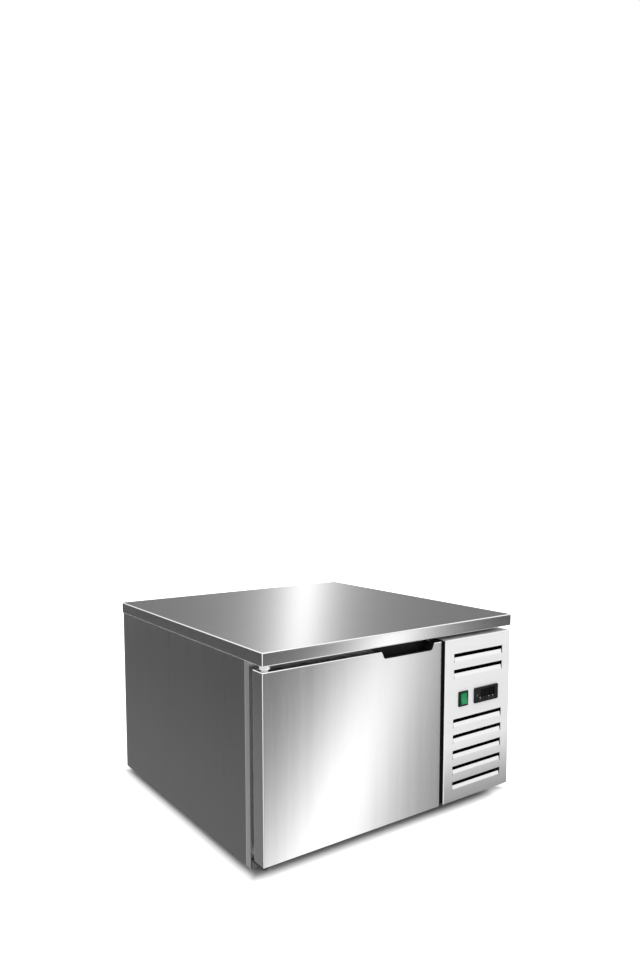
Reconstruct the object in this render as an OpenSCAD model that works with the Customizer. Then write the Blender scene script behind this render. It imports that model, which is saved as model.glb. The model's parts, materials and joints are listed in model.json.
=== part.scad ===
// Countertop blast chiller: an insulated chamber behind a side-hinged door on the left,
// and a machine compartment behind a louvred service panel on the right.
// Inside the modules x runs from the worktop's left edge, y from its front edge to the
// back and z from the body's bottom edge. The last lines move all of it to the part's
// own origin, on the floor under the middle of the worktop.

/* [Body] */
// Width of the worktop
top_w = 660; // [650:1:700]
// Depth of the worktop
top_d = 672; // [655:1:740]
// Thickness of the worktop
top_t = 26; // [22:1:34]
// Height of the body under the worktop
body_h = 393; // [390:1:430]
// Height of the feet
foot_h = 14; // [6:1:20]
// Diameter of the feet
foot_d = 42; // [30:1:60]
// Distance of the feet's centres from the edges of the worktop
foot_in = 62; // [50:1:90]
// Step from the worktop's edge in to the body's sides
side_inset = 2; // [1:0.5:6]
// Thickness of the outer sheet metal
skin_t = 1.2; // [1:0.1:1.5]
// Radius of the folded edges
fold_r = 2; // [1.6:0.1:3]
// Width of the folded flanges that join the sheets
flange_w = 15; // [10:1:20]
// Width of the hem under the worktop
hem_w = 14; // [10:1:20]

/* [Front] */
// Width of the door
door_w = 440; // [430:1:455]
// Thickness of the door
door_t = 35; // [32:1:42]
// Gap that the door's seal fills
seal_gap = 15; // [13:1:20]
// Depth of the front frame
frame_d = 25; // [22:1:32]
// Part of the front frame's side that the side panel leaves open
frame_edge = 16; // [12:1:20]
// Gap between the worktop and the top of the door
top_gap = 10; // [9:0.5:14]
// Height of the door's bottom edge above the body's bottom edge
bottom_gap = 23; // [20:1:34]
// Gap between the door and the service panel
centre_gap = 12; // [9:0.5:16]
// Step from the worktop's right edge in to the service panel
panel_inset = 1.5; // [1:0.5:4]
// Gap of the black strip to the door and to the service panel
strip_clear = 1.5; // [1.2:0.1:2.5]
// Setback of the black strip behind the front
strip_back = 9; // [5:1:20]

/* [Door] */
// Thickness of the door's outer skin
door_skin_t = 1; // [0.8:0.1:1.2]
// Thickness of the door's inner pan
pan_t = 1; // [0.8:0.1:1.2]
// Height of the raised field of the inner pan
pan_raise = 7; // [4:1:10]
// Width of the door seal
seal_w = 20; // [16:1:24]
// Distance of the seal from the door's edges
seal_in = 12.4; // [12.4:0.1:15]
// Clearance between the closed seal and the front frame
seal_clear = 0.3; // [0.3:0.1:0.8]
// Width of the recessed handle at the door's top edge
grip_w = 140; // [120:1:180]
// Height of the handle's opening in the door's front
grip_h = 13; // [11:1:18]
// Depth of the handle's pocket below its front edge
grip_pocket = 16; // [12:1:24]
// Distance of the handle from the door's free edge
grip_end = 23; // [20:1:40]
// Slope of the handle's ends, as the width lost over the opening's height
grip_slope = 6.5; // [4:0.5:8]
// Radius of the opening's two lower corners
grip_corner = 5; // [2:0.5:6]
// Wall of the handle
grip_t = 1.8; // [1.5:0.1:2.5]

/* [Hinges] */
// Distance of the hinge pins from the door's left and front faces
hinge_in = 12; // [11:0.5:12]
// Radius of the hinge pins
pin_r = 4; // [3.5:0.1:5]
// Radial running clearance of the pins in their bushes
pin_clear = 0.05; // [0.03:0.01:0.08]
// Length of the hinge pins inside the door
pin_l = 16; // [12:1:20]
// Thickness of the hinge brackets
bracket_t = 4; // [3:0.5:5]
// Width of the hinge brackets
bracket_w = 34; // [30:1:40]
// Radius of the bushes' flanges
bush_r = 9.5; // [9:0.5:11]
// Wall of the bushes
bush_t = 2.5; // [2:0.5:3]
// Clearance above and below the door's bushes
bush_clear = 0.4; // [0.3:0.1:0.8]

/* [Chamber] */
// Width of the chamber
chamber_w = 360; // [330:1:370]
// Height of the chamber
chamber_h = 286; // [250:1:292]
// Thickness of the foam behind the chamber
back_foam = 41.8; // [34:0.2:60]
// Radius of the chamber's long corners
cove_r = 12; // [8:1:18]
// Thickness of the chamber liner
liner_t = 1; // [0.8:0.1:1.2]
// Depth of the plastic break behind the frame's mouth
break_d = 13; // [8:1:16]
// Wall of the plastic break
break_t = 3; // [2:0.5:4]
// Height of the lowest tray runners over the chamber's floor
runner_z = 42; // [32:1:60]
// Distance between the tray levels
level_pitch = 75; // [68:1:78]
// Number of tray levels
levels = 3; // [2:1:3]
// Distance from the tray runners' back ends to the evaporator's hood
runner_gap = 54; // [40:1:80]
// Width of the tray runners
runner_w = 20; // [14:1:24]
// Distance from the front frame's back to the runners
runner_in = 14; // [8:1:24]

/* [Service panel] */
// Distance from the louvres' ends to the panel's sides
louvre_side = 26.25; // [22:0.25:36]
// Height of each air slot
slot_h = 9; // [7:0.5:10]
// Height of the tongue under each air slot
tongue_h = 10; // [8:0.5:12]
// Lean of the tongues into the panel, in degrees
tongue_lean = 12; // [5:1:35]
// Slit beside each tongue
slit = 2.2; // [1:0.1:2.5]
// Distance from louvre to louvre
louvre_pitch = 35; // [32:0.5:36]
// Number of louvres in the lower group
louvres_low = 5; // [3:1:5]
// Number of louvres in the upper group
louvres_high = 2; // [1:1:2]
// Height of the lowest louvre over the panel's bottom
louvre_z = 25; // [20:1:30]
// Distance of the top louvre from the panel's top
louvre_top = 32; // [26:1:40]
// Distance of the controls' centre line under the middle of the plain field
control_drop = 3; // [0:0.5:5]
// Width of the controller's bezel
bezel_w = 76; // [74:0.5:80]
// Height of the controller's bezel
bezel_h = 34; // [32:0.5:36]
// Overlap of the bezels over their cut-outs
bezel_lap = 2.5; // [2:0.1:3]
// Distance of the controller's centre to the right of the panel's centre line
bezel_x = 24; // [20:1:28]
// Depth of the controller behind the panel
controller_d = 46; // [35:1:60]
// Width of the controller's keys
key_w = 7; // [5:0.5:9]
// Height of the controller's keys
key_h = 4.4; // [3.5:0.1:5]
// Travel of the controller's keys
key_travel = 0.5; // [0.3:0.1:0.8]
// Width of the rocker switch's frame
rocker_w = 29; // [27:0.5:32]
// Height of the rocker switch's frame
rocker_h = 33; // [33:0.5:36]
// Distance of the rocker switch's centre to the left of the panel's centre line
rocker_x = 48; // [44:1:52]
// Tilt of the rocker to each side, in degrees
rocker_tilt = 8; // [5:1:9]

/* [Machine compartment] */
// Thickness of the wall between chamber and machine compartment
partition_foam = 40; // [34:1:46]
// Space between the condenser's fin pack and the walls beside it
condenser_side = 28.8; // [26:0.2:34]
// Tubes in each row of the condenser
condenser_tubes_n = 8; // [6:2:8]
// Rows of tubes in the condenser
condenser_rows = 3; // [1:2:3]
// Space between the evaporator's fin pack and the chamber's side walls
evaporator_side = 40; // [34:1:60]
// Tubes in each row of the evaporator
evaporator_tubes_n = 6; // [5:1:6]
// Rows of tubes in the evaporator
evaporator_rows = 2; // [2:2:2]
// Distance from tube to tube along a row
tube_pitch = 34; // [30:1:36]
// Distance between the rows of tubes
row_pitch = 22; // [20:1:24]
// Radius of the coil tubes
tube_r = 4; // [3.5:0.1:4.5]
// Distance from fin to fin
fin_pitch = 8; // [6:0.5:12]
// Thickness of the fins
fin_t = 0.6; // [0.4:0.1:0.8]
// Distance from the condenser fan's blades to the fin pack's ends
condenser_fan_in = 7; // [6:0.5:16]
// Radius of the evaporator fan
evaporator_fan_r = 96; // [85:1:100]
// Number of blades of each fan
blades = 5; // [4:1:7]
// Space between the compressor and the partition
compressor_left = 27.8; // [24:0.2:34]
// Space between the compressor and the right side panel
compressor_right = 43.8; // [40:0.2:52]
// Height of the compressor's shell
compressor_h = 178; // [160:1:190]
// Radius of the refrigerant pipes
pipe_r = 3.2; // [3:0.1:4]
// Radius of the power cord's way through its gland
cord_r = 5; // [4:0.5:6]
// Length of the cord's gland outside the back panel
gland_out = 8.75; // [6:0.25:14]
// Diameter of the chamber's drain
drain_d = 22; // [18:1:26]

/* [Hidden] */
$fn = 48;
// A hair more than touching, for cuts that run out of a face
cut = 1;
// Clearance of a pipe or tube in a hole that it passes
tube_clear = 0.05;
// The same, in the chamber's thin sheet
sheet_clear = 0.3;

steel = [0.72, 0.73, 0.74];
dark_steel = [0.45, 0.46, 0.47];
zinc = [0.66, 0.68, 0.7];
alu = [0.8, 0.81, 0.82];
copper = [0.72, 0.45, 0.3];
black = [0.06, 0.06, 0.07];
grey = [0.3, 0.3, 0.32];
white = [0.92, 0.92, 0.9];
foam_yellow = [0.9, 0.82, 0.6];
board = [0.66, 0.52, 0.36];
green = [0.1, 0.55, 0.32];

// The body's faces
left_x = side_inset;
right_x = top_w - side_inset;
back_y = top_d - side_inset;
frame_y = door_t + seal_gap;
frame_back_y = frame_y + frame_d;

// The door and the service panel
door_z = bottom_gap;
door_top_z = body_h - top_gap;
door_h = door_top_z - door_z;
panel_x = door_w + centre_gap;
panel_w = top_w - panel_inset - panel_x;
panel_mid_x = panel_x + panel_w / 2;
louvre_w = panel_w - 2 * louvre_side;
low_field_z = louvre_z + (louvres_low - 1) * louvre_pitch + slot_h + tongue_h;
high_field_z = door_h - louvre_top - (louvres_high - 1) * louvre_pitch - slot_h - tongue_h;
control_mid_z = door_z + (low_field_z + high_field_z) / 2 - control_drop;
grip_x = door_w - grip_end - grip_w;

// The chamber, centred behind the door
chamber_x = (door_w - chamber_w) / 2;
chamber_z = (door_z + door_top_z - chamber_h) / 2;
chamber_back_y = back_y - skin_t - back_foam;
partition_x = chamber_x + chamber_w + partition_foam;
bay_x = partition_x + skin_t;
bay_end_x = right_x - skin_t;
bay_mid_x = (bay_x + bay_end_x) / 2;
bay_w = bay_end_x - bay_x;
base_top_z = 2 * skin_t;

// The hinge pins
pin_x = hinge_in;
pin_y = hinge_in;
bush_shank_r = pin_r + pin_clear + bush_t;
bush_flange_t = 3;
bush_neck = 3.5;
bush_l = pin_l + 2;
bracket_x = left_x + 1;
bracket_gap = 1;
bracket_lap = 4;
screw_hole_r = 2.2;

// The door's pocket and the raised field of its inner pan
pocket_z = door_top_z - grip_h - grip_pocket;
grip_back_y = door_t - 6;
pan_rim = seal_in + seal_w + 10;
pan_slope = 5;

// The rocker turns on an axis just behind the panel's face
rocker_axis_y = 2;
rocker_r = 14;
rocker_clear = 0.3;
rocker_body_w = 20;
rocker_mid_x = panel_mid_x - rocker_x;
rocker_well_w = rocker_body_w + 2 * rocker_clear;
rocker_well_h = 2 * (rocker_r + rocker_clear);
rocker_wall = 1.2;
trunnion_r = 1.5;
trunnion_l = 0.9;
rocker_rim = 2.2;
rocker_depth = 26;
switch_w = rocker_w - 2 * bezel_lap;
switch_h = rocker_well_h + 2 * rocker_wall;

// The controller's face
bezel_proud = 3;
bezel_mid_x = panel_mid_x + bezel_x;
window_w = 46;
window_h = 17;
window_shift = 4;
window_rise = 3.5;
window_z = control_mid_z + window_rise;
controller_w = bezel_w - 2 * bezel_lap;
controller_h = bezel_h - 2 * bezel_lap;
cutout_clear = 0.2;
key_clear = 0.3;
key_proud = 0.8;
key_row_z = -11;
key_xs = [-20, 8, 20];
side_key_x = -30;

// The coils, the planes that the two fans are mounted on, and the heights of their axes
condenser_lift = 26;
condenser_in = 8;
condenser_z = base_top_z + condenser_lift;
condenser_y = frame_back_y + condenser_in;
condenser_w = bay_w - 2 * condenser_side;
condenser_fan_r = condenser_w / 2 - condenser_fan_in;
condenser_d = condenser_rows * row_pitch;
condenser_h = condenser_tubes_n * tube_pitch;
shroud_d = 16;
shroud_hole_r = condenser_fan_r + 3;
shroud_y = condenser_y + condenser_d + shroud_d;
condenser_fan_z = condenser_z + condenser_h / 2;
coil_back_gap = 16;
coil_lift = 40;
tray_h = 22;
hood_gap = 16;
hood_d = 30;
fan_unit_l = 70;
fan_unit_gap = 4;
evaporator_w = chamber_w - 2 * evaporator_side;
evaporator_d = evaporator_rows * row_pitch;
evaporator_h = evaporator_tubes_n * tube_pitch;
evaporator_y = chamber_back_y - coil_back_gap - evaporator_d;
evaporator_z = chamber_z + coil_lift;
hood_y = evaporator_y - fan_unit_l - fan_unit_gap;
runner_y = frame_back_y + runner_in;
runner_l = hood_y - runner_gap - runner_y;
chamber_mid_x = chamber_x + chamber_w / 2;
chamber_mid_z = chamber_z + chamber_h / 2;

// The fans
fan_clear = 6;
fan_depth = 26;
hub_r = 24;
shaft_r = 3;
motor_r = 34;
motor_l = 34;
motor_z = 31;
bearing_l = 15;
bearing_gap = 1;
spider_z = 46;
spider_t = 2.5;

// The compressor
compressor_r = (bay_w - compressor_left - compressor_right) / 2;
compressor_x = bay_x + compressor_left + compressor_r;
compressor_back = 175;
compressor_y = back_y - compressor_back;
mount_h = 14;
mount_plate_t = 2.5;
compressor_z = base_top_z + mount_h + mount_plate_t;
mount_in = 17;
mount_span_x = 2 * (compressor_r - mount_in);
mount_span_y = mount_span_x + 10;
stub_l = 12;
discharge_drop = 46;
suction_drop = 80;
suction_in = 20;
discharge_z = compressor_z + compressor_h - discharge_drop;
suction_z = compressor_z + compressor_h - suction_drop;
suction_x = compressor_x - suction_in;

// The filter drier and the pipes, which run along the right side panel
pipe_bend = 8;
pipe_gap = 3;
pipe_x = bay_end_x - pipe_r - pipe_gap;
drier_r = 11;
drier_l = 90;
drier_x = bay_end_x - drier_r - pipe_gap;
drier_gap = 90;
drier_y = shroud_y + drier_gap;
drier_z = 60;
riser_x = chamber_x + chamber_w - pipe_r - pipe_gap;
tube_end = skin_t + 3;
inlet = [bay_mid_x + condenser_w / 2 + tube_end, condenser_y + row_pitch / 2,
    condenser_z + condenser_h - tube_pitch / 2];
outlet = [inlet.x, condenser_y + condenser_d - row_pitch / 2, condenser_z + tube_pitch / 2];
coil_in = [chamber_mid_x + evaporator_w / 2 + tube_end, evaporator_y + row_pitch / 2,
    evaporator_z + tube_pitch / 2];
coil_out = [coil_in.x, evaporator_y + 1.5 * row_pitch, coil_in.z];
liquid_drop = 20;
return_drop = 54;
liquid_z = evaporator_z + evaporator_h - liquid_drop;
return_z = evaporator_z + evaporator_h - return_drop;
liquid_top = 40;
drier_turn = 30;

// The box for relays and terminals
box_w = 62;
box_l = 150;
box_h = 126;
box_gap = 100;
box_drop = 14;
box_y = shroud_y + box_gap;
box_top_z = body_h - box_drop;
box_z = box_top_z - box_h;

// Drain, back panel and cord gland
drain_in = 60;
drain_y = frame_back_y + drain_in;
drain_out = 1;
vent_side = 35.8;
vent_gap = 12;
vent_w = (bay_w - vent_gap) / 2 - vent_side;
vent_h = 6;
vent_pitch = 13;
vent_rows = 18;
vent_z = 78;
gland_in = 36;
gland_x = right_x - gland_in;
gland_z = 40;
gland_wall = 3;
back_screw_r = 4;
back_screw_rows = 4;
back_screw_in = 24;

// ---- General shapes ----

// A box from its lowest to its highest corner
module block(low, high) {
    translate(low) cube(high - low);
}

// A rectangle with true round corners
module rounded_rect(size, r) {
    difference() {
        square(size);
        for (i = [0, 1], j = [0, 1])
            translate([i * size.x, j * size.y]) mirror([i, 0]) mirror([0, j])
                difference() {
                    translate([-cut, -cut]) square(r + cut);
                    translate([r, r]) circle(r);
                }
    }
}

// A sheet-metal box with all its edges rolled over
module soft_box(size, r) {
    intersection() {
        linear_extrude(size.z) rounded_rect([size.x, size.y], r);
        translate([0, size.y, 0]) rotate([90, 0, 0])
            linear_extrude(size.y) rounded_rect([size.x, size.z], r);
        rotate([90, 0, 90]) linear_extrude(size.x) rounded_rect([size.y, size.z], r);
    }
}

// A round bar along +X, +Y or +Z
module rod_x(start, r, l) {
    translate(start) rotate([0, 90, 0]) cylinder(h = l, r = r);
}

module rod_y(start, r, l) {
    translate(start) rotate([-90, 0, 0]) cylinder(h = l, r = r);
}

module rod_z(start, r, l) {
    translate(start) cylinder(h = l, r = r);
}

// A 2D shape drawn in x and z, swept along +Y from y0 to y1
module sweep_y(y0, y1) {
    translate([0, y1, 0]) rotate([90, 0, 0]) linear_extrude(y1 - y0) children();
}

// A 2D shape drawn in y and z, swept along +X from x0 to x1
module sweep_x(x0, x1) {
    translate([x0, 0, 0]) rotate([90, 0, 90]) linear_extrude(x1 - x0) children();
}

function unit(v) = v / norm(v);

// Turns +X, +Y and +Z into the three given directions
module to_axes(a, b, c) {
    multmatrix([
        [a.x, b.x, c.x, 0],
        [a.y, b.y, c.y, 0],
        [a.z, b.z, c.z, 0],
        [0, 0, 0, 1]
    ]) children();
}

// A pipe along points whose legs meet at right angles, with round bends
module pipe(points, r, bend) {
    last = len(points) - 1;
    for (i = [0 : last - 1]) {
        leg = unit(points[i + 1] - points[i]);
        start = points[i] + (i > 0 ? bend : 0) * leg;
        end = points[i + 1] - (i < last - 1 ? bend : 0) * leg;
        side = abs(leg.z) > 0.5 ? [1, 0, 0] : [0, 0, 1];
        translate(start) to_axes(side, cross(leg, side), leg)
            cylinder(h = norm(end - start), r = r);
    }
    for (i = [1 : 1 : last - 1]) {
        before = unit(points[i - 1] - points[i]);
        after = unit(points[i + 1] - points[i]);
        translate(points[i] + bend * (before + after))
            to_axes(-after, -before, cross(after, before))
                rotate_extrude(angle = 90) translate([bend, 0]) circle(r);
    }
}

// ---- Outer shell ----

module worktop() {
    color(steel) difference() {
        translate([0, 0, body_h]) soft_box([top_w, top_d, top_t], fold_r);
        block([skin_t, skin_t, body_h + skin_t],
            [top_w - skin_t, top_d - skin_t, body_h + top_t - skin_t]);
        block([hem_w, hem_w, body_h - cut],
            [top_w - hem_w, top_d - hem_w, body_h + 2 * skin_t]);
        hinge_notch();
    }
}

// Room for the top hinge bracket in the worktop's hem and core
module hinge_notch() {
    block([left_x, skin_t, body_h - cut],
        [bracket_x + bracket_w + bracket_gap, frame_back_y + bracket_gap, body_h + bracket_t]);
}

// Board that stiffens the worktop and fills it
module worktop_core() {
    color(board) difference() {
        union() {
            block([skin_t, skin_t, body_h + skin_t],
                [top_w - skin_t, top_d - skin_t, body_h + top_t - skin_t]);
            block([hem_w, hem_w, body_h],
                [top_w - hem_w, top_d - hem_w, body_h + 2 * skin_t]);
        }
        hinge_notch();
    }
}

// Side sheet with flanges turned in at all four edges, and a lip over the front frame's side
module side_panel() {
    end_y = back_y - skin_t;
    difference() {
        union() {
            block([left_x, frame_back_y, 0], [left_x + flange_w, end_y, body_h]);
            block([left_x, frame_y + frame_edge, 0], [left_x + skin_t, end_y, body_h]);
        }
        block([left_x + skin_t, frame_back_y + skin_t, skin_t],
            [left_x + flange_w + cut, end_y - skin_t, body_h - skin_t]);
    }
}

module left_side_panel() {
    color(dark_steel) side_panel();
}

module right_side_panel() {
    color(dark_steel) translate([top_w, 0, 0]) mirror([1, 0, 0]) side_panel();
}

// Floor of the body, lying on the side panels' and the frame's lower flanges
module base_pan() {
    air_slots = 6;
    slot_l = 70;
    slot_w = 5;
    slot_y = shroud_y + 60;
    color(zinc) difference() {
        block([left_x + skin_t, frame_y + skin_t + 1, skin_t],
            [bay_end_x, back_y - skin_t, base_top_z]);
        front_frame();
        left_side_panel();
        right_side_panel();
        drain_hole(0, base_top_z + cut);
        for (i = [0 : air_slots - 1])
            block([bay_mid_x - slot_l / 2, slot_y + 2 * slot_w * i, 0],
                [bay_mid_x + slot_l / 2, slot_y + slot_w * (2 * i + 1), 2 * base_top_z]);
    }
}

// Rear sheet, with air slots behind the machine compartment
module back_panel() {
    color(zinc) difference() {
        block([left_x, back_y - skin_t, 0], [right_x, back_y, body_h]);
        sweep_y(back_y - 2 * skin_t, back_y + cut)
            for (column = [-1, 1], i = [0 : vent_rows - 1])
                translate([bay_mid_x + column * (vent_w + vent_gap) / 2 - vent_w / 2,
                        vent_z + i * vent_pitch])
                    rounded_rect([vent_w, vent_h], vent_h / 2 - 0.01);
        rod_y([gland_x, back_y - 2 * skin_t, gland_z], cord_r + gland_wall, 4 * skin_t);
    }
}

// Heads of the screws that hold the back panel to the side panels' flanges
module back_screws() {
    head_h = 1.4;
    step = (body_h - 2 * back_screw_in) / (back_screw_rows - 1);
    color(zinc) for (x = [left_x + flange_w / 2, right_x - flange_w / 2])
        for (i = [0 : back_screw_rows - 1])
            rod_y([x, back_y, back_screw_in + i * step], back_screw_r, head_h);
}

// Mouths of the chamber and of the machine compartment, as prisms along y
module chamber_prism(y0, y1, grow) {
    sweep_y(y0, y1) translate([chamber_x - grow, chamber_z - grow])
        rounded_rect([chamber_w + 2 * grow, chamber_h + 2 * grow], cove_r + grow);
}

module bay_prism(y0, y1, grow) {
    lap = 12;
    block([panel_x + lap - grow, y0, door_z + lap - grow],
        [top_w - panel_inset - lap + grow, y1, door_top_z - lap + grow]);
}

// The steps in the front frame's sides that the side panels' lips lie in
module lip_seats(t, z0, z1) {
    for (x = [left_x, right_x - t])
        block([x == left_x ? x - cut : x, frame_y + frame_edge, z0],
            [x == left_x ? x + t : x + t + cut, frame_back_y + cut, z1]);
}

// Folded frame that carries the door, the seal's face and the service panel
module front_frame() {
    break_y = frame_back_y - break_d;
    color(steel) difference() {
        block([left_x, frame_y, 0], [right_x, frame_back_y, body_h]);
        difference() {
            block([left_x + 2 * skin_t, frame_y + skin_t, skin_t],
                [right_x - 2 * skin_t, frame_back_y + cut, body_h - skin_t]);
            chamber_prism(frame_y, break_y, skin_t);
            bay_prism(frame_y, frame_back_y + 2 * cut, skin_t);
        }
        lip_seats(skin_t, -cut, body_h + cut);
        chamber_prism(frame_y - cut, frame_back_y + cut, 0);
        bay_prism(frame_y - cut, frame_back_y + cut, 0);
    }
}

// Plastic ring that keeps the cold of the liner from the frame
module thermal_break() {
    color(grey) difference() {
        chamber_prism(frame_back_y - break_d, frame_back_y, break_t);
        chamber_prism(frame_back_y - break_d - cut, frame_back_y + cut, 0);
    }
}

// Holes for the liquid and suction pipes, through the partition
module pipe_holes(x0, x1, clear) {
    rod_x([x0, coil_in.y, liquid_z], pipe_r + clear, x1 - x0);
    rod_x([x0, coil_out.y, return_z], pipe_r + clear, x1 - x0);
}

// Welded tank with coved corners and a flange round its mouth
module chamber_liner() {
    color(steel) difference() {
        union() {
            chamber_prism(frame_back_y, chamber_back_y + liner_t, liner_t);
            chamber_prism(frame_back_y, frame_back_y + liner_t, flange_w);
        }
        chamber_prism(frame_back_y - cut, chamber_back_y, 0);
        drain_hole(chamber_z - 2 * liner_t, chamber_z + cut);
        pipe_holes(chamber_x + chamber_w - 5, partition_x, sheet_clear);
    }
}

// Foam that fills the space between the liner and the outer sheets
module foam_insulation() {
    color(foam_yellow) difference() {
        block([left_x + skin_t / 2, frame_y + skin_t / 2, skin_t],
            [partition_x, back_y - skin_t / 2, body_h]);
        front_frame();
        thermal_break();
        chamber_liner();
        chamber_prism(frame_y - cut, chamber_back_y + liner_t / 2, liner_t / 2);
        left_side_panel();
        base_pan();
        back_panel();
        drain_hole(0, chamber_z);
        pipe_holes(chamber_x, partition_x + cut, tube_clear);
    }
}

module partition_panel() {
    color(zinc) difference() {
        block([partition_x, frame_y + skin_t, base_top_z], [bay_x, back_y - skin_t, body_h]);
        pipe_holes(partition_x - cut, bay_x + cut, tube_clear);
        block([partition_x - cut, 0, body_h - skin_t - 0.1],
            [bay_x + cut, frame_back_y, body_h + cut]);
        base_pan();
    }
}

// Black channel in the gap between the door and the service panel
module gap_strip() {
    x0 = door_w + strip_clear;
    x1 = panel_x;
    wall = 1.5;
    color(black) difference() {
        block([x0, strip_back, door_z], [x1, frame_y, door_top_z]);
        block([x0 + wall, strip_back + wall, door_z - cut], [x1 - wall, frame_y + cut,
            door_top_z + cut]);
        block([(x0 + x1) / 2 - wall / 2, strip_back - cut, door_z - cut],
            [(x0 + x1) / 2 + wall / 2, strip_back + wall / 2, door_top_z + cut]);
    }
}

// Low rubber feet, each with a chamfered sole
module feet() {
    chamfer = 1.5;
    color(black) for (x = [foot_in, top_w - foot_in], y = [foot_in + 30, top_d - foot_in])
        translate([x, y, -foot_h]) rotate_extrude() polygon([
            [0, 0], [foot_d / 2 - chamfer, 0], [foot_d / 2, chamfer],
            [foot_d / 2, foot_h], [0, foot_h]
        ]);
}

// ---- Service panel and its controls ----

function louvre_heights() = concat(
    [for (i = [0 : louvres_low - 1]) louvre_z + i * louvre_pitch],
    [for (i = [0 : louvres_high - 1]) high_field_z + i * louvre_pitch]
);

// One tongue, cut free at its ends and bent in about its lower edge
module louvre_tongue() {
    inward = tongue_h * tan(tongue_lean);
    sweep_x(panel_mid_x - louvre_w / 2 + slit, panel_mid_x + louvre_w / 2 - slit)
        polygon([[0, 0], [skin_t, 0], [skin_t + inward, tongue_h], [inward, tongue_h]]);
}

module service_panel() {
    color(steel) {
        difference() {
            translate([panel_x, 0, door_z]) soft_box([panel_w, frame_y, door_h], fold_r);
            block([panel_x + skin_t, skin_t, door_z + skin_t],
                [panel_x + panel_w - skin_t, frame_y - skin_t, door_top_z - skin_t]);
            block([panel_x + flange_w, skin_t, door_z + flange_w],
                [panel_x + panel_w - flange_w, frame_y + cut, door_top_z - flange_w]);
            for (z = louvre_heights())
                block([panel_mid_x - louvre_w / 2, -cut, door_z + z],
                    [panel_mid_x + louvre_w / 2, skin_t + cut,
                        door_z + z + slot_h + tongue_h]);
            control_cutout(bezel_mid_x, controller_w, controller_h);
            control_cutout(rocker_mid_x, switch_w, switch_h);
        }
        for (z = louvre_heights())
            translate([0, 0, door_z + z]) louvre_tongue();
    }
}

// Rectangular hole for the body of a control, which its bezel covers
module control_cutout(mid_x, w, h) {
    block([mid_x - w / 2 - cutout_clear, -cut, control_mid_z - h / 2 - cutout_clear],
        [mid_x + w / 2 + cutout_clear, skin_t + cut, control_mid_z + h / 2 + cutout_clear]);
}

// Heads of the screws under and over the service panel
module panel_screws() {
    head_r = 3.5;
    head_h = 1.6;
    color(zinc) for (x = [panel_x + 30, panel_x + panel_w - 30])
        rod_z([x, frame_y / 2, door_z - head_h], head_r, head_h);
}

// Keys stand in the row under the display, and one beside it
module key_shape(grow) {
    rounded_rect([key_w + 2 * grow, key_h + 2 * grow], 1 + grow);
}

module key_at(x, z, y0, y1, grow) {
    sweep_y(y0, y1) translate([bezel_mid_x + x - key_w / 2 - grow,
        control_mid_z + z - key_h / 2 - grow]) key_shape(grow);
}

module key(x, z) {
    color(grey) key_at(x, z, -bezel_proud - key_proud, -bezel_proud + 2, 0);
}

module controller_housing() {
    color(black) difference() {
        union() {
            sweep_y(-bezel_proud, 0) translate([bezel_mid_x - bezel_w / 2,
                control_mid_z - bezel_h / 2]) rounded_rect([bezel_w, bezel_h], 2.5);
            block([bezel_mid_x - controller_w / 2, -cut, control_mid_z - controller_h / 2],
                [bezel_mid_x + controller_w / 2, controller_d,
                    control_mid_z + controller_h / 2]);
        }
        block([bezel_mid_x + window_shift - window_w / 2, -bezel_proud - cut,
                window_z - window_h / 2],
            [bezel_mid_x + window_shift + window_w / 2, -bezel_proud + 1.2,
                window_z + window_h / 2]);
        for (x = key_xs)
            key_at(x, key_row_z, -bezel_proud - cut, -bezel_proud + 2 + 2 * key_travel,
                key_clear);
        key_at(side_key_x, window_rise, -bezel_proud - cut, -bezel_proud + 2 + 2 * key_travel,
            key_clear);
    }
}

module controller_display() {
    color(black) block([bezel_mid_x + window_shift - window_w / 2, -bezel_proud + 0.2,
            window_z - window_h / 2],
        [bezel_mid_x + window_shift + window_w / 2, -bezel_proud + 1.2,
            window_z + window_h / 2]);
}

module key_set() {
    key(key_xs[0], key_row_z);
}

module key_down() {
    key(key_xs[1], key_row_z);
}

module key_up() {
    key(key_xs[2], key_row_z);
}

module key_defrost() {
    key(side_key_x, window_rise);
}

// Snap-in frame and well of the rocker switch
module switch_housing() {
    well_x = rocker_mid_x - rocker_well_w / 2;
    color(black) difference() {
        union() {
            sweep_y(-rocker_rim, 0) translate([rocker_mid_x - rocker_w / 2,
                control_mid_z - rocker_h / 2]) rounded_rect([rocker_w, rocker_h], 2);
            block([rocker_mid_x - switch_w / 2, -cut, control_mid_z - switch_h / 2],
                [rocker_mid_x + switch_w / 2, rocker_depth, control_mid_z + switch_h / 2]);
        }
        block([well_x, -rocker_rim - cut, control_mid_z - rocker_well_h / 2],
            [well_x + rocker_well_w, rocker_axis_y + rocker_r + rocker_clear,
                control_mid_z + rocker_well_h / 2]);
        rod_x([well_x - trunnion_l - rocker_clear, rocker_axis_y, control_mid_z],
            trunnion_r + pin_clear,
            rocker_well_w + 2 * (trunnion_l + rocker_clear));
    }
}

// Rocker with a dished front, pressed in at its top
module power_rocker() {
    front = -3.6;
    lip = -5.4;
    color(green) translate([0, rocker_axis_y, control_mid_z]) rotate([-rocker_tilt, 0, 0])
        translate([0, -rocker_axis_y, 0]) {
            sweep_x(rocker_mid_x - rocker_body_w / 2, rocker_mid_x + rocker_body_w / 2)
                intersection() {
                    translate([rocker_axis_y, 0]) circle(rocker_r);
                    polygon([[lip, rocker_r], [front, 0], [lip, -rocker_r],
                        [8, -rocker_r], [8, rocker_r]]);
                }
            rod_x([rocker_mid_x - rocker_body_w / 2 - trunnion_l, rocker_axis_y, 0],
                trunnion_r, rocker_body_w + 2 * trunnion_l);
        }
}

// ---- Hinges ----

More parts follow.
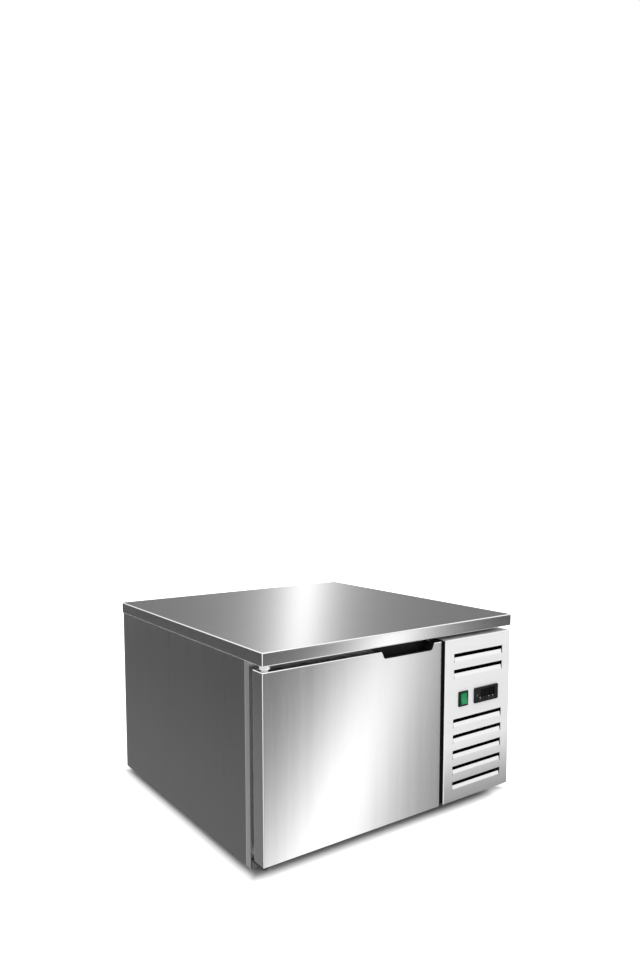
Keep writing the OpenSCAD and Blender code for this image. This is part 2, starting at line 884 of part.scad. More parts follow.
module top_hinge_bracket() {
    color(dark_steel) {
        difference() {
            block([bracket_x, pin_y - pin_r - bracket_lap, body_h],
                [bracket_x + bracket_w, frame_back_y, body_h + bracket_t]);
            for (y = [frame_y + frame_d / 3, frame_back_y - frame_d / 3])
                rod_z([bracket_x + bracket_w / 2, y, body_h - cut], screw_hole_r,
                    bracket_t + 2 * cut);
        }
        rod_z([pin_x, pin_y, door_top_z - pin_l], pin_r, pin_l + top_gap + bracket_t / 2);
    }
}

module bottom_hinge_bracket() {
    plate_z = door_z - bracket_t - bush_clear - bush_flange_t;
    nose_r = pin_x - bracket_x;
    color(dark_steel) {
        rod_z([pin_x, pin_y, plate_z], nose_r, bracket_t);
        block([bracket_x, pin_y, plate_z],
            [pin_x + nose_r, frame_y - bracket_t, plate_z + bracket_t]);
        block([bracket_x, frame_y - bracket_t, skin_t],
            [bracket_x + bracket_w, frame_y, plate_z + bracket_t]);
        rod_z([pin_x, pin_y, plate_z + bracket_t / 2], pin_r,
            door_z + pin_l - plate_z - bracket_t / 2);
    }
}

// Flanged bush in the top of the door, which fills the gap under the worktop
module top_bush() {
    color(white) difference() {
        union() {
            rod_z([pin_x, pin_y, door_top_z + bush_neck], bush_r,
                top_gap - bush_clear - bush_neck);
            rod_z([pin_x, pin_y, door_top_z - bush_l], bush_shank_r, bush_l + bush_neck + cut);
        }
        rod_z([pin_x, pin_y, door_top_z - pin_l - bush_clear], pin_r + pin_clear,
            pin_l + 2 * top_gap);
    }
}

module bottom_bush() {
    color(grey) difference() {
        union() {
            rod_z([pin_x, pin_y, door_z - bush_flange_t], bush_shank_r + 1.5, bush_flange_t);
            rod_z([pin_x, pin_y, door_z - cut], bush_shank_r, bush_l + cut);
        }
        rod_z([pin_x, pin_y, door_z - 2 * bush_flange_t], pin_r + pin_clear,
            pin_l + 2 * bush_flange_t + bush_clear);
    }
}

// ---- Door ----

// The handle's opening, seen from the front, with its lower corners rounded
module grip_outline(grow) {
    top = door_top_z + 5;
    low = door_top_z - grip_h - grow;
    r = grip_corner + grow;
    lean = atan(grip_slope / (grip_h + grow));
    reach = r * tan(45 - lean / 2);
    x0 = grip_x - grow;
    x1 = grip_x + grip_w + grow;
    polygon([
        [x0, top], [x0, door_top_z],
        [x0 + grip_slope - reach * sin(lean), low + reach * cos(lean)],
        [x0 + grip_slope + reach, low], [x1 - grip_slope - reach, low],
        [x1 - grip_slope + reach * sin(lean), low + reach * cos(lean)],
        [x1, door_top_z], [x1, top]
    ]);
    for (x = [x0 + grip_slope + reach, x1 - grip_slope - reach]) translate([x, low + r]) circle(r);
}

// Space of the handle's pocket inside the door
module grip_space(grow, y0) {
    sweep_y(y0, grip_back_y + grow) grip_outline(grow);
    block([grip_x + grip_slope - grow, door_skin_t + grip_t - grow, pocket_z - grow],
        [grip_x + grip_w - grip_slope + grow, grip_back_y + grow, door_top_z + 5]);
}

module door_skin() {
    color(steel) difference() {
        translate([0, 0, door_z]) soft_box([door_w, door_t, door_h], fold_r);
        block([door_skin_t, door_skin_t, door_z + door_skin_t],
            [door_w - door_skin_t, door_t + cut, door_top_z - door_skin_t]);
        grip_space(grip_t, -cut);
        for (z = [door_z - cut, door_top_z - 2 * door_skin_t])
            rod_z([pin_x, pin_y, z], bush_shank_r + tube_clear, 4);
    }
}

// Raised field of the inner pan, with sloping top and bottom
module pan_field(inset, y0) {
    y1 = door_t + pan_raise - inset;
    z0 = door_z + pan_rim + inset;
    z1 = door_top_z - pan_rim - inset;
    sweep_x(pan_rim + inset, door_w - pan_rim - inset)
        polygon([[y0, z0], [y1, z0 + pan_slope], [y1, z1 - pan_slope], [y0, z1]]);
}

// Inner pan: a flat rim for the seal round a raised field
module door_inner_pan() {
    color(steel) difference() {
        union() {
            block([door_skin_t, door_t - pan_t, door_z + door_skin_t],
                [door_w - door_skin_t, door_t, door_top_z - door_skin_t]);
            pan_field(0, door_t - pan_t);
        }
        pan_field(pan_t, door_t - pan_t - cut);
    }
}

module door_foam() {
    color(foam_yellow) difference() {
        union() {
            block([door_skin_t, door_skin_t, door_z + door_skin_t],
                [door_w - door_skin_t, door_t - pan_t, door_top_z - door_skin_t]);
            intersection() {
                pan_field(pan_t, door_t - pan_t - cut);
                block([0, door_t - pan_t - cut / 2, 0], [door_w, door_t + pan_raise, body_h]);
            }
        }
        grip_space(grip_t, -cut);
        rod_z([pin_x, pin_y, door_z - cut], bush_shank_r + tube_clear, bush_l + 2 * cut);
        rod_z([pin_x, pin_y, door_top_z - bush_l - cut], bush_shank_r + tube_clear,
            bush_l + 2 * cut);
    }
}

// Recessed finger grip: a scoop with a rim over the door's top edge
module door_handle() {
    rim_w = 3;
    rim_t = 1;
    rim_r = 6;
    rim_back = 1.5;
    color(black) difference() {
        union() {
            intersection() {
                grip_space(grip_t, door_skin_t / 4);
                block([0, 0, 0], [door_w, door_t, door_top_z]);
            }
            translate([grip_x - grip_t - rim_w, fold_r, door_top_z]) linear_extrude(rim_t)
                rounded_rect([grip_w + 2 * (grip_t + rim_w), door_t - fold_r - rim_back], rim_r);
        }
        grip_space(0, -cut);
    }
}

// A rectangular ring round the chamber's mouth, y0 to y1 deep
module seal_ring(y0, y1, inset, w) {
    sweep_y(y0, y1) difference() {
        translate([inset, door_z + inset])
            rounded_rect([door_w - 2 * inset, door_h - 2 * inset], 4);
        translate([inset + w, door_z + inset + w])
            rounded_rect([door_w - 2 * (inset + w), door_h - 2 * (inset + w)], 3);
    }
}

// Magnetic seal: foot, bellows and magnet pocket
module door_seal() {
    foot_t = 3.5;
    head_t = 4.5;
    seal_end = frame_y - seal_clear;
    color(grey) {
        seal_ring(door_t, door_t + foot_t, seal_in, seal_w);
        seal_ring(door_t + foot_t, seal_end - head_t, seal_in + 4, seal_w - 8);
        seal_ring(seal_end - head_t, seal_end, seal_in, seal_w - 2);
    }
}

// ---- Chamber fittings ----

// Upright strips with angled tray runners, on the chamber's left wall
module rack() {
    upright_t = 5;
    upright_w = 22;
    sheet = 1.5;
    y0 = runner_y;
    top = chamber_z + runner_z + (levels - 1) * level_pitch + 22;
    for (y = [y0 + 40, y0 + runner_l - 40 - upright_w])
        difference() {
            block([chamber_x, y, chamber_z + cove_r + 4],
                [chamber_x + upright_t, y + upright_w, top]);
            block([chamber_x - cut, y + sheet, chamber_z], [chamber_x + upright_t - sheet,
                y + upright_w - sheet, top + cut]);
        }
    for (i = [0 : levels - 1]) {
        z = chamber_z + runner_z + i * level_pitch;
        block([chamber_x + upright_t - sheet, y0, z - sheet],
            [chamber_x + upright_t + runner_w, y0 + runner_l, z]);
        block([chamber_x + upright_t - sheet, y0, z - sheet],
            [chamber_x + upright_t, y0 + runner_l, z + 10]);
        block([chamber_x + upright_t, y0 + runner_l - sheet, z - sheet],
            [chamber_x + upright_t + runner_w, y0 + runner_l, z + 8]);
    }
}

module left_rack() {
    color(steel) rack();
}

module right_rack() {
    color(steel) translate([2 * chamber_mid_x, 0, 0]) mirror([1, 0, 0]) rack();
}

// Hole round the drain pipe, from z0 to z1
module drain_hole(z0, z1) {
    rod_z([chamber_mid_x, drain_y, z0], drain_d / 2 + tube_clear, z1 - z0);
}

// Flanged drain from the chamber's floor through the base pan
module drain_pipe() {
    flange_t = 1.5;
    wall = 2;
    color(white) difference() {
        union() {
            rod_z([chamber_mid_x, drain_y, chamber_z], drain_d / 2 + 5, flange_t);
            rod_z([chamber_mid_x, drain_y, -drain_out], drain_d / 2, chamber_z + drain_out);
        }
        rod_z([chamber_mid_x, drain_y, -drain_out - cut], drain_d / 2 - wall,
            chamber_z + drain_out + flange_t + 2 * cut);
    }
}

// Hood that divides the evaporator from the trays, open at its top and bottom
module evaporator_hood() {
    lower = chamber_z + hood_gap;
    upper = chamber_z + chamber_h - hood_gap;
    color(steel) difference() {
        block([chamber_x, hood_y, lower], [chamber_x + chamber_w, hood_y + hood_d, upper]);
        block([chamber_x + skin_t, hood_y + skin_t, lower - cut],
            [chamber_x + chamber_w - skin_t, hood_y + hood_d + cut, upper + cut]);
        rod_y([chamber_mid_x, hood_y - cut, chamber_mid_z], evaporator_fan_r + fan_clear,
            skin_t + 2);
    }
}

// Places a fan unit, whose axis is +Z there, behind a plate's rear face
module at_evaporator_fan() {
    translate([chamber_mid_x, hood_y + skin_t, chamber_mid_z]) rotate([-90, 0, 0]) children();
}

module at_condenser_fan() {
    translate([bay_mid_x, shroud_y, condenser_fan_z]) rotate([-90, 0, 0]) children();
}

// Cambered blades: slices of a tube wall, cut to the blade's outline
module fan_blades(r) {
    camber_r = 60;
    blade_t = 1.6;
    mid = 3 + fan_depth / 2;
    rod_z([0, 0, 1], hub_r, fan_depth + 2);
    rod_z([0, 0, fan_depth + 2], shaft_r, motor_z + bearing_l - bearing_gap - fan_depth - 2);
    for (i = [0 : blades - 1]) rotate([0, 0, i * 360 / blades]) intersection() {
        translate([0, 0, 3]) linear_extrude(fan_depth - 2) difference() {
            polygon([[hub_r - 6, -16], [r * 0.8, -r * 0.42], [r + 2, -r * 0.3],
                [r + 2, r * 0.34], [r * 0.7, r * 0.34], [hub_r - 6, 14]]);
            difference() {
                circle(2 * r);
                circle(r, $fn = 96);
            }
        }
        translate([0, 0, mid]) rotate([28, 0, 0]) translate([0, 0, -camber_r])
            rotate([0, 90, 0]) difference() {
                cylinder(h = r + 5, r = camber_r + blade_t / 2);
                translate([0, 0, -cut]) cylinder(h = r + 7, r = camber_r - blade_t / 2);
            }
    }
}

// Motor can with a bearing bore, on a spider with four legs to the plate
module fan_motor(r) {
    leg_w = 12;
    leg_r = r + fan_clear + 4;
    difference() {
        union() {
            rod_z([0, 0, motor_z], motor_r, motor_l);
            rod_z([0, 0, motor_z + motor_l], motor_r - 12, 3);
            for (i = [0 : 3]) rotate([0, 0, 45 + 90 * i]) {
                block([motor_r - 6, -leg_w / 2, spider_z],
                    [leg_r + spider_t, leg_w / 2, spider_z + spider_t]);
                block([leg_r, -leg_w / 2, 0], [leg_r + spider_t, leg_w / 2, spider_z + 1]);
            }
        }
        rod_z([0, 0, motor_z - cut], shaft_r + pin_clear, bearing_l + cut);
    }
}

// Guard in front of the evaporator fan: rings on four crossed arms, with end tabs
module evaporator_fan_guard() {
    bar_w = 3;
    bar_t = 2;
    proud = 9;
    rings = 5;
    outer = evaporator_fan_r + fan_clear + 6;
    ring_r = outer - 8;
    color(steel) at_evaporator_fan() translate([0, 0, -skin_t - proud]) {
        linear_extrude(bar_t) {
            for (i = [1 : rings]) difference() {
                circle(ring_r * i / rings);
                circle(ring_r * i / rings - bar_w);
            }
            for (i = [0 : 3]) rotate(45 * i) translate([-outer, -bar_w / 2])
                square([2 * outer, bar_w]);
        }
        for (i = [0 : 7]) rotate([0, 0, 45 * i])
            block([outer - bar_t, -bar_w, 0], [outer, bar_w, proud]);
    }
}

module evaporator_fan_motor() {
    color(grey) at_evaporator_fan() fan_motor(evaporator_fan_r);
}

module evaporator_fan_blades() {
    color(alu) at_evaporator_fan() fan_blades(evaporator_fan_r);
}

// ---- Fin-and-tube coils ----
// One circuit winds through all the tubes: pass k runs in row k / n, up one row and
// down the next, and a return bend joins each pass to the one after it.

function pass_row(k, n) = floor(k / n);
function pass_step(k, n) = pass_row(k, n) % 2 == 0 ? k % n : n - 1 - k % n;
function pass_place(k, n) = [
    (pass_row(k, n) + 0.5) * row_pitch, (pass_step(k, n) + 0.5) * tube_pitch
];

// Plates with the tubes' holes, and a thicker plate at each end
module coil_fins(w, n, rows) {
    end_t = skin_t;
    count = floor((w - 4) / fin_pitch);
    first = (w - (count - 1) * fin_pitch) / 2;
    places = [for (k = [0 : n * rows - 1]) pass_place(k, n)];
    module plate(x, t) {
        sweep_x(x, x + t) difference() {
            square([rows * row_pitch, n * tube_pitch]);
            for (p = places) translate(p) circle(tube_r + tube_clear, $fn = 24);
        }
    }
    for (i = [0 : count - 1]) plate(first + i * fin_pitch - fin_t / 2, fin_t);
    plate(-end_t, end_t);
    plate(w, end_t);
}

// The tubes and their return bends
module coil_tubes(w, n, rows) {
    out = 3;
    passes = n * rows;
    for (k = [0 : passes - 1]) {
        p = pass_place(k, n);
        rod_x([-out - skin_t, p.x, p.y], tube_r, w + 2 * (out + skin_t));
    }
    for (k = [0 : passes - 2]) {
        a = pass_place(k, n);
        b = pass_place(k + 1, n);
        on_left = k % 2 == 0;
        along = unit([0, b.x - a.x, b.y - a.y]);
        outward = [on_left ? -1 : 1, 0, 0];
        translate([on_left ? -out - skin_t : w + out + skin_t, (a.x + b.x) / 2,
                (a.y + b.y) / 2])
            to_axes(along, outward, cross(along, outward))
                rotate_extrude(angle = 180) translate([norm(b - a) / 2, 0]) circle(tube_r);
    }
}

// The condenser stands on end, so that gas enters at its top and liquid leaves below
module at_condenser() {
    translate([bay_mid_x - condenser_w / 2, condenser_y, condenser_z + condenser_h])
        mirror([0, 0, 1]) children();
}

module at_evaporator() {
    translate([chamber_mid_x - evaporator_w / 2, evaporator_y, evaporator_z]) children();
}

module condenser_fins() {
    color(alu) at_condenser() coil_fins(condenser_w, condenser_tubes_n, condenser_rows);
}

module condenser_tubes() {
    color(copper) at_condenser() coil_tubes(condenser_w, condenser_tubes_n, condenser_rows);
}

module evaporator_fins() {
    color(alu) at_evaporator() coil_fins(evaporator_w, evaporator_tubes_n, evaporator_rows);
}

module evaporator_tubes() {
    color(copper) at_evaporator() coil_tubes(evaporator_w, evaporator_tubes_n, evaporator_rows);
}

// Tray that stands on the chamber's floor and carries the evaporator
module drip_tray() {
    lip = 14;
    low = [chamber_mid_x - evaporator_w / 2 - lip, evaporator_y - lip / 2, chamber_z];
    high = [chamber_mid_x + evaporator_w / 2 + lip, evaporator_y + evaporator_d + lip / 2,
        chamber_z + tray_h];
    color(steel) {
        difference() {
            block(low, high);
            block(low + [skin_t, skin_t, skin_t], high + [-skin_t, -skin_t, cut]);
        }
        for (x = [low.x + lip - skin_t, high.x - lip])
            block([x, evaporator_y, chamber_z],
                [x + skin_t, evaporator_y + evaporator_d, evaporator_z]);
    }
}

// Sheet box that carries the condenser and its fan on two side plates
module condenser_shroud() {
    x0 = bay_mid_x - condenser_w / 2 - skin_t;
    x1 = bay_mid_x + condenser_w / 2 + skin_t;
    top = condenser_z + condenser_h;
    color(zinc) {
        difference() {
            block([x0, condenser_y + condenser_d, base_top_z], [x1, shroud_y, top]);
            block([x0 + skin_t, condenser_y + condenser_d - cut, condenser_z],
                [x1 - skin_t, shroud_y - skin_t, top - skin_t]);
            block([x0 + skin_t, condenser_y + condenser_d - cut, base_top_z + skin_t],
                [x1 - skin_t, shroud_y - skin_t, condenser_z - skin_t]);
            rod_y([bay_mid_x, shroud_y - 2 * skin_t, condenser_fan_z], shroud_hole_r,
                4 * skin_t);
        }
        for (x = [x0, x1 - skin_t])
            block([x, condenser_y, base_top_z], [x + skin_t, condenser_y + condenser_d + 1,
                condenser_z]);
        block([x0, condenser_y, base_top_z], [x1, condenser_y + condenser_d + 1,
            base_top_z + skin_t]);
    }
}

module condenser_fan_motor() {
    color(black) at_condenser_fan() fan_motor(condenser_fan_r);
}

module condenser_fan_blades() {
    color(alu) at_condenser_fan() fan_blades(condenser_fan_r);
}

// ---- Compressor and pipes ----

module at_compressor() {
    translate([compressor_x, compressor_y, compressor_z]) children();
}

// Domed shell with its welded seam, its feet plate and its two pipe stubs
module compressor() {
    dome = 26;
    seam = 3;
    shell_r = compressor_r - seam;
    color(black) {
        at_compressor() difference() {
            union() {
                rotate_extrude() intersection() {
                    square([compressor_r + cut, compressor_h]);
                    union() {
                        translate([0, dome]) square([shell_r, compressor_h - 2 * dome]);
                        for (z = [dome, compressor_h - dome])
                            translate([shell_r - dome, z]) circle(dome);
                        square([shell_r - dome, compressor_h]);
                        translate([0, compressor_h * 0.56]) square([compressor_r, 5]);
                    }
                }
                translate([-mount_span_x / 2 - 12, -mount_span_y / 2 - 12, -mount_plate_t])
                    linear_extrude(mount_plate_t + 0.5)
                        rounded_rect([mount_span_x + 24, mount_span_y + 24], 14);
            }
            for (x = [-1, 1], y = [-1, 1])
                rod_z([x * mount_span_x / 2, y * mount_span_y / 2, -4], 4, 8);
        }
        rod_x([compressor_x + compressor_r - 20, compressor_y, discharge_z], pipe_r + 1.2,
            20 + stub_l - 4);
        rod_y([suction_x, compressor_y + compressor_r - 20, suction_z], pipe_r + 1.2,
            20 + stub_l - 4);
    }
}

module compressor_mounts() {
    color(grey) at_compressor() for (x = [-1, 1], y = [-1, 1])
        translate([x * mount_span_x / 2, y * mount_span_y / 2, -mount_plate_t - mount_h])
            rotate_extrude() polygon([
                [0, 0], [11, 0], [11, 5], [8, 7], [11, 9], [11, mount_h], [3.9, mount_h],
                [3.9, mount_h + 4], [0, mount_h + 4]
            ]);
}

// Cover over the compressor's terminals, on the side that faces the partition
module terminal_cover() {
    w = 46;
    h = 60;
    mid_z = compressor_z + compressor_h * 0.35;
    color(black) difference() {
        block([compressor_x - compressor_r - 14, compressor_y - w / 2, mid_z - h / 2],
            [compressor_x - compressor_r + 16, compressor_y + w / 2, mid_z + h / 2]);
        at_compressor() translate([0, 0, -cut])
            cylinder(h = compressor_h, r = compressor_r - 3 + tube_clear);
    }
}

module discharge_pipe() {
    color(copper) pipe([
        [compressor_x + compressor_r + stub_l - 4, compressor_y, discharge_z],
        [pipe_x, compressor_y, discharge_z],
        [pipe_x, drier_y + drier_turn, discharge_z],
        [pipe_x, drier_y + drier_turn, inlet.z],
        [pipe_x, inlet.y, inlet.z],
        inlet
    ], pipe_r, pipe_bend);
}

// From the condenser to the drier, and on to the evaporator through the partition
module liquid_pipe() {
    color(copper) {
        pipe([
            outlet,
            [drier_x, outlet.y, outlet.z],
            [drier_x, drier_y, outlet.z],
            [drier_x, drier_y, drier_z]
        ], pipe_r, pipe_bend);
        pipe([
            [drier_x, drier_y, drier_z + drier_l],
            [drier_x, drier_y, body_h - liquid_top],
            [drier_x, coil_in.y, body_h - liquid_top],
            [drier_x, coil_in.y, liquid_z],
            [riser_x, coil_in.y, liquid_z],
            [riser_x, coil_in.y, coil_in.z],
            coil_in
        ], pipe_r, pipe_bend);
    }
}

module suction_pipe() {
    color(copper) pipe([
        coil_out,
        [riser_x, coil_out.y, coil_out.z],
        [riser_x, coil_out.y, return_z],
        [suction_x, coil_out.y, return_z],
        [suction_x, coil_out.y, suction_z],
        [suction_x, compressor_y + compressor_r + stub_l - 4, suction_z]
    ], pipe_r, pipe_bend);
}

module filter_drier() {
    neck = 14;
    color(copper) translate([drier_x, drier_y, drier_z]) rotate_extrude() polygon([
        [0, 0], [pipe_r + 0.8, 0], [drier_r, neck], [drier_r, drier_l - neck],
        [pipe_r + 0.8, drier_l], [0, drier_l]
    ]);
}

// Box for the relays and terminals, fixed to the partition
module electrical_box() {
    wall = 2;
    color(grey) difference() {
        block([bay_x, box_y, box_z], [bay_x + box_w, box_y + box_l, box_top_z]);
        block([bay_x + wall, box_y + wall, box_z + wall],
            [bay_x + box_w + cut, box_y + box_l - wall, box_top_z - wall]);
        rod_y([bay_x + box_w / 2, box_y - cut, box_z + 20], 6, 2 * wall);
    }
}

module electrical_box_lid() {
    lid_t = 3;
    color(grey) block([bay_x + box_w, box_y, box_z],
        [bay_x + box_w + lid_t, box_y + box_l, box_top_z]);
}

// Low gland where the power cord enters through the back panel
module cable_gland() {
    thread_r = cord_r + gland_wall - tube_clear;
    color(black) difference() {
        union() {
            rod_y([gland_x, back_y - 12, gland_z], thread_r, 13);
            translate([gland_x, back_y, gland_z]) rotate([-90, 0, 0])
                cylinder(h = gland_out / 2, r = thread_r + 4, $fn = 6);
            rod_y([gland_x, back_y, gland_z], thread_r + 1, gland_out);
            translate([gland_x, back_y - skin_t - 4, gland_z]) rotate([-90, 0, 0])
                cylinder(h = 4, r = thread_r + 4, $fn = 6);
        }
        rod_y([gland_x, back_y - 20, gland_z], cord_r, 60);
    }
}

// ---- Placement ----

// Moves the origin from the body's front left corner to the floor under its middle
module placed() {
    translate([-top_w / 2, -top_d / 2, foot_h]) children();
}

placed() worktop();
placed() worktop_core();
placed() left_side_panel();
placed() right_side_panel();
placed() back_panel();
placed() base_pan();
placed() front_frame();
placed() thermal_break();
placed() chamber_liner();
placed() foam_insulation();
placed() partition_panel();
placed() gap_strip();
placed() feet();
placed() service_panel();
placed() panel_screws();
placed() controller_housing();
placed() controller_display();
placed() key_set();
placed() key_down();
placed() key_up();
placed() key_defrost();
placed() switch_housing();
placed() power_rocker();
placed() top_hinge_bracket();
placed() bottom_hinge_bracket();
placed() door_skin();
placed() door_inner_pan();
placed() door_foam();
placed() door_handle();
placed() door_seal();
placed() top_bush();
placed() bottom_bush();
placed() left_rack();
placed() right_rack();
placed() drain_pipe();
placed() evaporator_hood();
placed() evaporator_fan_guard();
placed() evaporator_fan_motor();
placed() evaporator_fan_blades();
placed() evaporator_fins();
placed() evaporator_tubes();
placed() drip_tray();
placed() condenser_fins();
placed() condenser_tubes();
placed() condenser_shroud();
placed() condenser_fan_motor();
placed() condenser_fan_blades();
placed() compressor();
placed() compressor_mounts();
placed() terminal_cover();
placed() filter_drier();
placed() discharge_pipe();
placed() liquid_pipe();
placed() suction_pipe();
placed() electrical_box();
placed() electrical_box_lid();
placed() cable_gland();
placed() back_screws();
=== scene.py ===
# %% [markdown]
# # A countertop blast chiller
# A blast chiller takes the heat out of cooked food in minutes. This one stands on a counter: a
# steel cabinet with an insulated door, and beside the door a louvred panel with a switch and a
# controller.
#
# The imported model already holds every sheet, pin and pipe at its real size. This script gives
# each of them a finish, adds the small moulded and pressed detail that the solids leave out,
# and sets up a studio: a pale floor, soft light, and the reflections that make steel look
# like steel.

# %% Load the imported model
import json
import math

import bmesh
import bpy
from mathutils import Matrix, Vector

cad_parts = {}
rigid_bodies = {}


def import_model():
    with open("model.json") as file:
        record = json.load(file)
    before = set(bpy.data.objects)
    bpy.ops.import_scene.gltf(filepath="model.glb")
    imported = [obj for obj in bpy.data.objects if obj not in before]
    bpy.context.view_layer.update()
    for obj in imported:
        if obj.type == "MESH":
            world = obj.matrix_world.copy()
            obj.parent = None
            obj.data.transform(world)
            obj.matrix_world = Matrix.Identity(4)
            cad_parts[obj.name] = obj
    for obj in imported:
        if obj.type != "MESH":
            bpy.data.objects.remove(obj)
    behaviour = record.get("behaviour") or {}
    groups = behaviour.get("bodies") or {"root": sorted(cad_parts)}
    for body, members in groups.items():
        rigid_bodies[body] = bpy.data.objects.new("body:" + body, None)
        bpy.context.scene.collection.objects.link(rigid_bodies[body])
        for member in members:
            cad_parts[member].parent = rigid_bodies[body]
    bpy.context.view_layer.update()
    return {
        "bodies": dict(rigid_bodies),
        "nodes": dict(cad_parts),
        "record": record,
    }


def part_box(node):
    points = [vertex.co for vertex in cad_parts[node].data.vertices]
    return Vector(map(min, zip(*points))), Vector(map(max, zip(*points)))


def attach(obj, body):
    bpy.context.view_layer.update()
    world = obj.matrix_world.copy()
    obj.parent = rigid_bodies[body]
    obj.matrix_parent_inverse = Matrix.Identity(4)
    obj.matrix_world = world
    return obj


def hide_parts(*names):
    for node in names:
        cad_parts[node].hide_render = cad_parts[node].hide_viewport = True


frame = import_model()
nodes = frame["nodes"]
scene = bpy.context.scene

MM = 0.001

# %% [markdown]
# ## Camera
# The photograph was taken from the front left, a little above the worktop. A camera could be
# aimed at a target by hand, but its angles are known here, so the direction is worked out from
# them. It looks down only slightly. A lens shift moves the picture instead of tilting the
# camera further, which keeps the cabinet's upright edges nearly parallel, as they are in the
# photograph.

# %% Camera
PHOTO_H = 961
AHEAD_ROW = 551.2
FOCAL_PX = 732.1
SENSOR_MM = 36
EYE = Vector((-0.9821, -1.4179, 0.7301))
AZIMUTH, ELEVATION = math.radians(-35.68), math.radians(5.35)

towards_eye = Vector((
    math.sin(AZIMUTH) * math.cos(ELEVATION),
    -math.cos(AZIMUTH) * math.cos(ELEVATION),
    math.sin(ELEVATION),
))
camera = bpy.data.objects.new("camera", bpy.data.cameras.new("camera"))
scene.collection.objects.link(camera)
camera.data.sensor_width = SENSOR_MM
camera.data.lens = FOCAL_PX / PHOTO_H * SENSOR_MM
camera.data.shift_y = (AHEAD_ROW - PHOTO_H / 2) / PHOTO_H
camera.data.clip_start = 50 * MM
camera.location = EYE
camera.rotation_mode = "QUATERNION"
camera.rotation_quaternion = (-towards_eye).to_track_quat("-Z", "Y")
scene.camera = camera
print("camera: lens", round(camera.data.lens, 2), "mm, shift", round(camera.data.shift_y, 4))

# %% [markdown]
# ## Writing finishes as expressions
# A finish is a Principled shader whose colour, roughness and bump change over the surface. Its
# nodes could be dragged together in the editor. In a script, an expression is easier to read
# than a list of links, so `Field` wraps one socket and adds a Math node for each sign:
# `1 - wear` is a Subtract node.


# %% A value that changes over the surface
class Field:
    """One output socket of a finish. Arithmetic on it adds Math nodes."""

    def __init__(self, finish, socket):
        self.finish, self.socket = finish, socket

    def maths(self, operation, first, second):
        return self.finish.node("ShaderNodeMath", {"operation": operation},
                                {0: first, 1: second})

    def __add__(self, other):
        return self.maths("ADD", self, other)

    def __sub__(self, other):
        return self.maths("SUBTRACT", self, other)

    def __rsub__(self, other):
        return self.maths("SUBTRACT", other, self)

    def __mul__(self, other):
        return self.maths("MULTIPLY", self, other)

    def __truediv__(self, other):
        return self.maths("DIVIDE", self, other)

    def __rtruediv__(self, other):
        return self.maths("DIVIDE", other, self)

    def least(self, other):
        return self.maths("MINIMUM", self, other)

    def most(self, other):
        return self.maths("MAXIMUM", self, other)

    def depth(self, low, high):
        """How far the value is inside the nearer of two ends. It is negative outside them."""
        return (self - low).least(high - self)

    __radd__ = __add__
    __rmul__ = __mul__


# %% [markdown]
# ## A material and its nodes
# `Surface` holds the material and its Principled shader. One method, `node`, adds every other
# node: it sets the node up, feeds its inputs with numbers or fields, and hands back an output.
# With one way in for all nodes, each finish below reads as a list of what it is made of.


# %% A material and its nodes
class Surface:
    """A material built round one Principled shader."""

    def __init__(self, name, **sockets):
        self.material = bpy.data.materials.new(name)
        self.material.use_nodes = True
        self.tree = self.material.node_tree
        self.shader = self.tree.nodes["Principled BSDF"]
        self.set(**sockets)

    def feed(self, socket, value):
        if isinstance(value, Field):
            self.tree.links.new(value.socket, socket)
        else:
            socket.default_value = value

    def set(self, **sockets):
        """Sets the shader's sockets. An underscore in a name stands for a space."""
        for name, value in sockets.items():
            self.feed(self.shader.inputs[name.replace("_", " ")], value)

    def node(self, kind, settings=(), inputs=(), output=0):
        """Adds a node, sets it up, feeds its inputs, and returns one of its outputs."""
        made = self.tree.nodes.new(kind)
        for name, value in dict(settings).items():
            setattr(made, name, value)
        for name, value in dict(inputs).items():
            self.feed(made.inputs[name], value)
        return Field(self, made.outputs[output])


# %% [markdown]
# ## Patterns that the finishes share
# What changes over a surface starts from the point's Object coordinates. Every mesh here lies
# in place round one origin, so these are metres on the real object, and a scratch is as wide
# on the door as on the worktop. A UV map would mean unwrapping each sheet first, and Generated
# coordinates would stretch with the size of each node.

# %% Patterns
MIX_A, MIX_B, MIX_RESULT = 6, 7, 2


def grey(level):
    return (level, level, level)


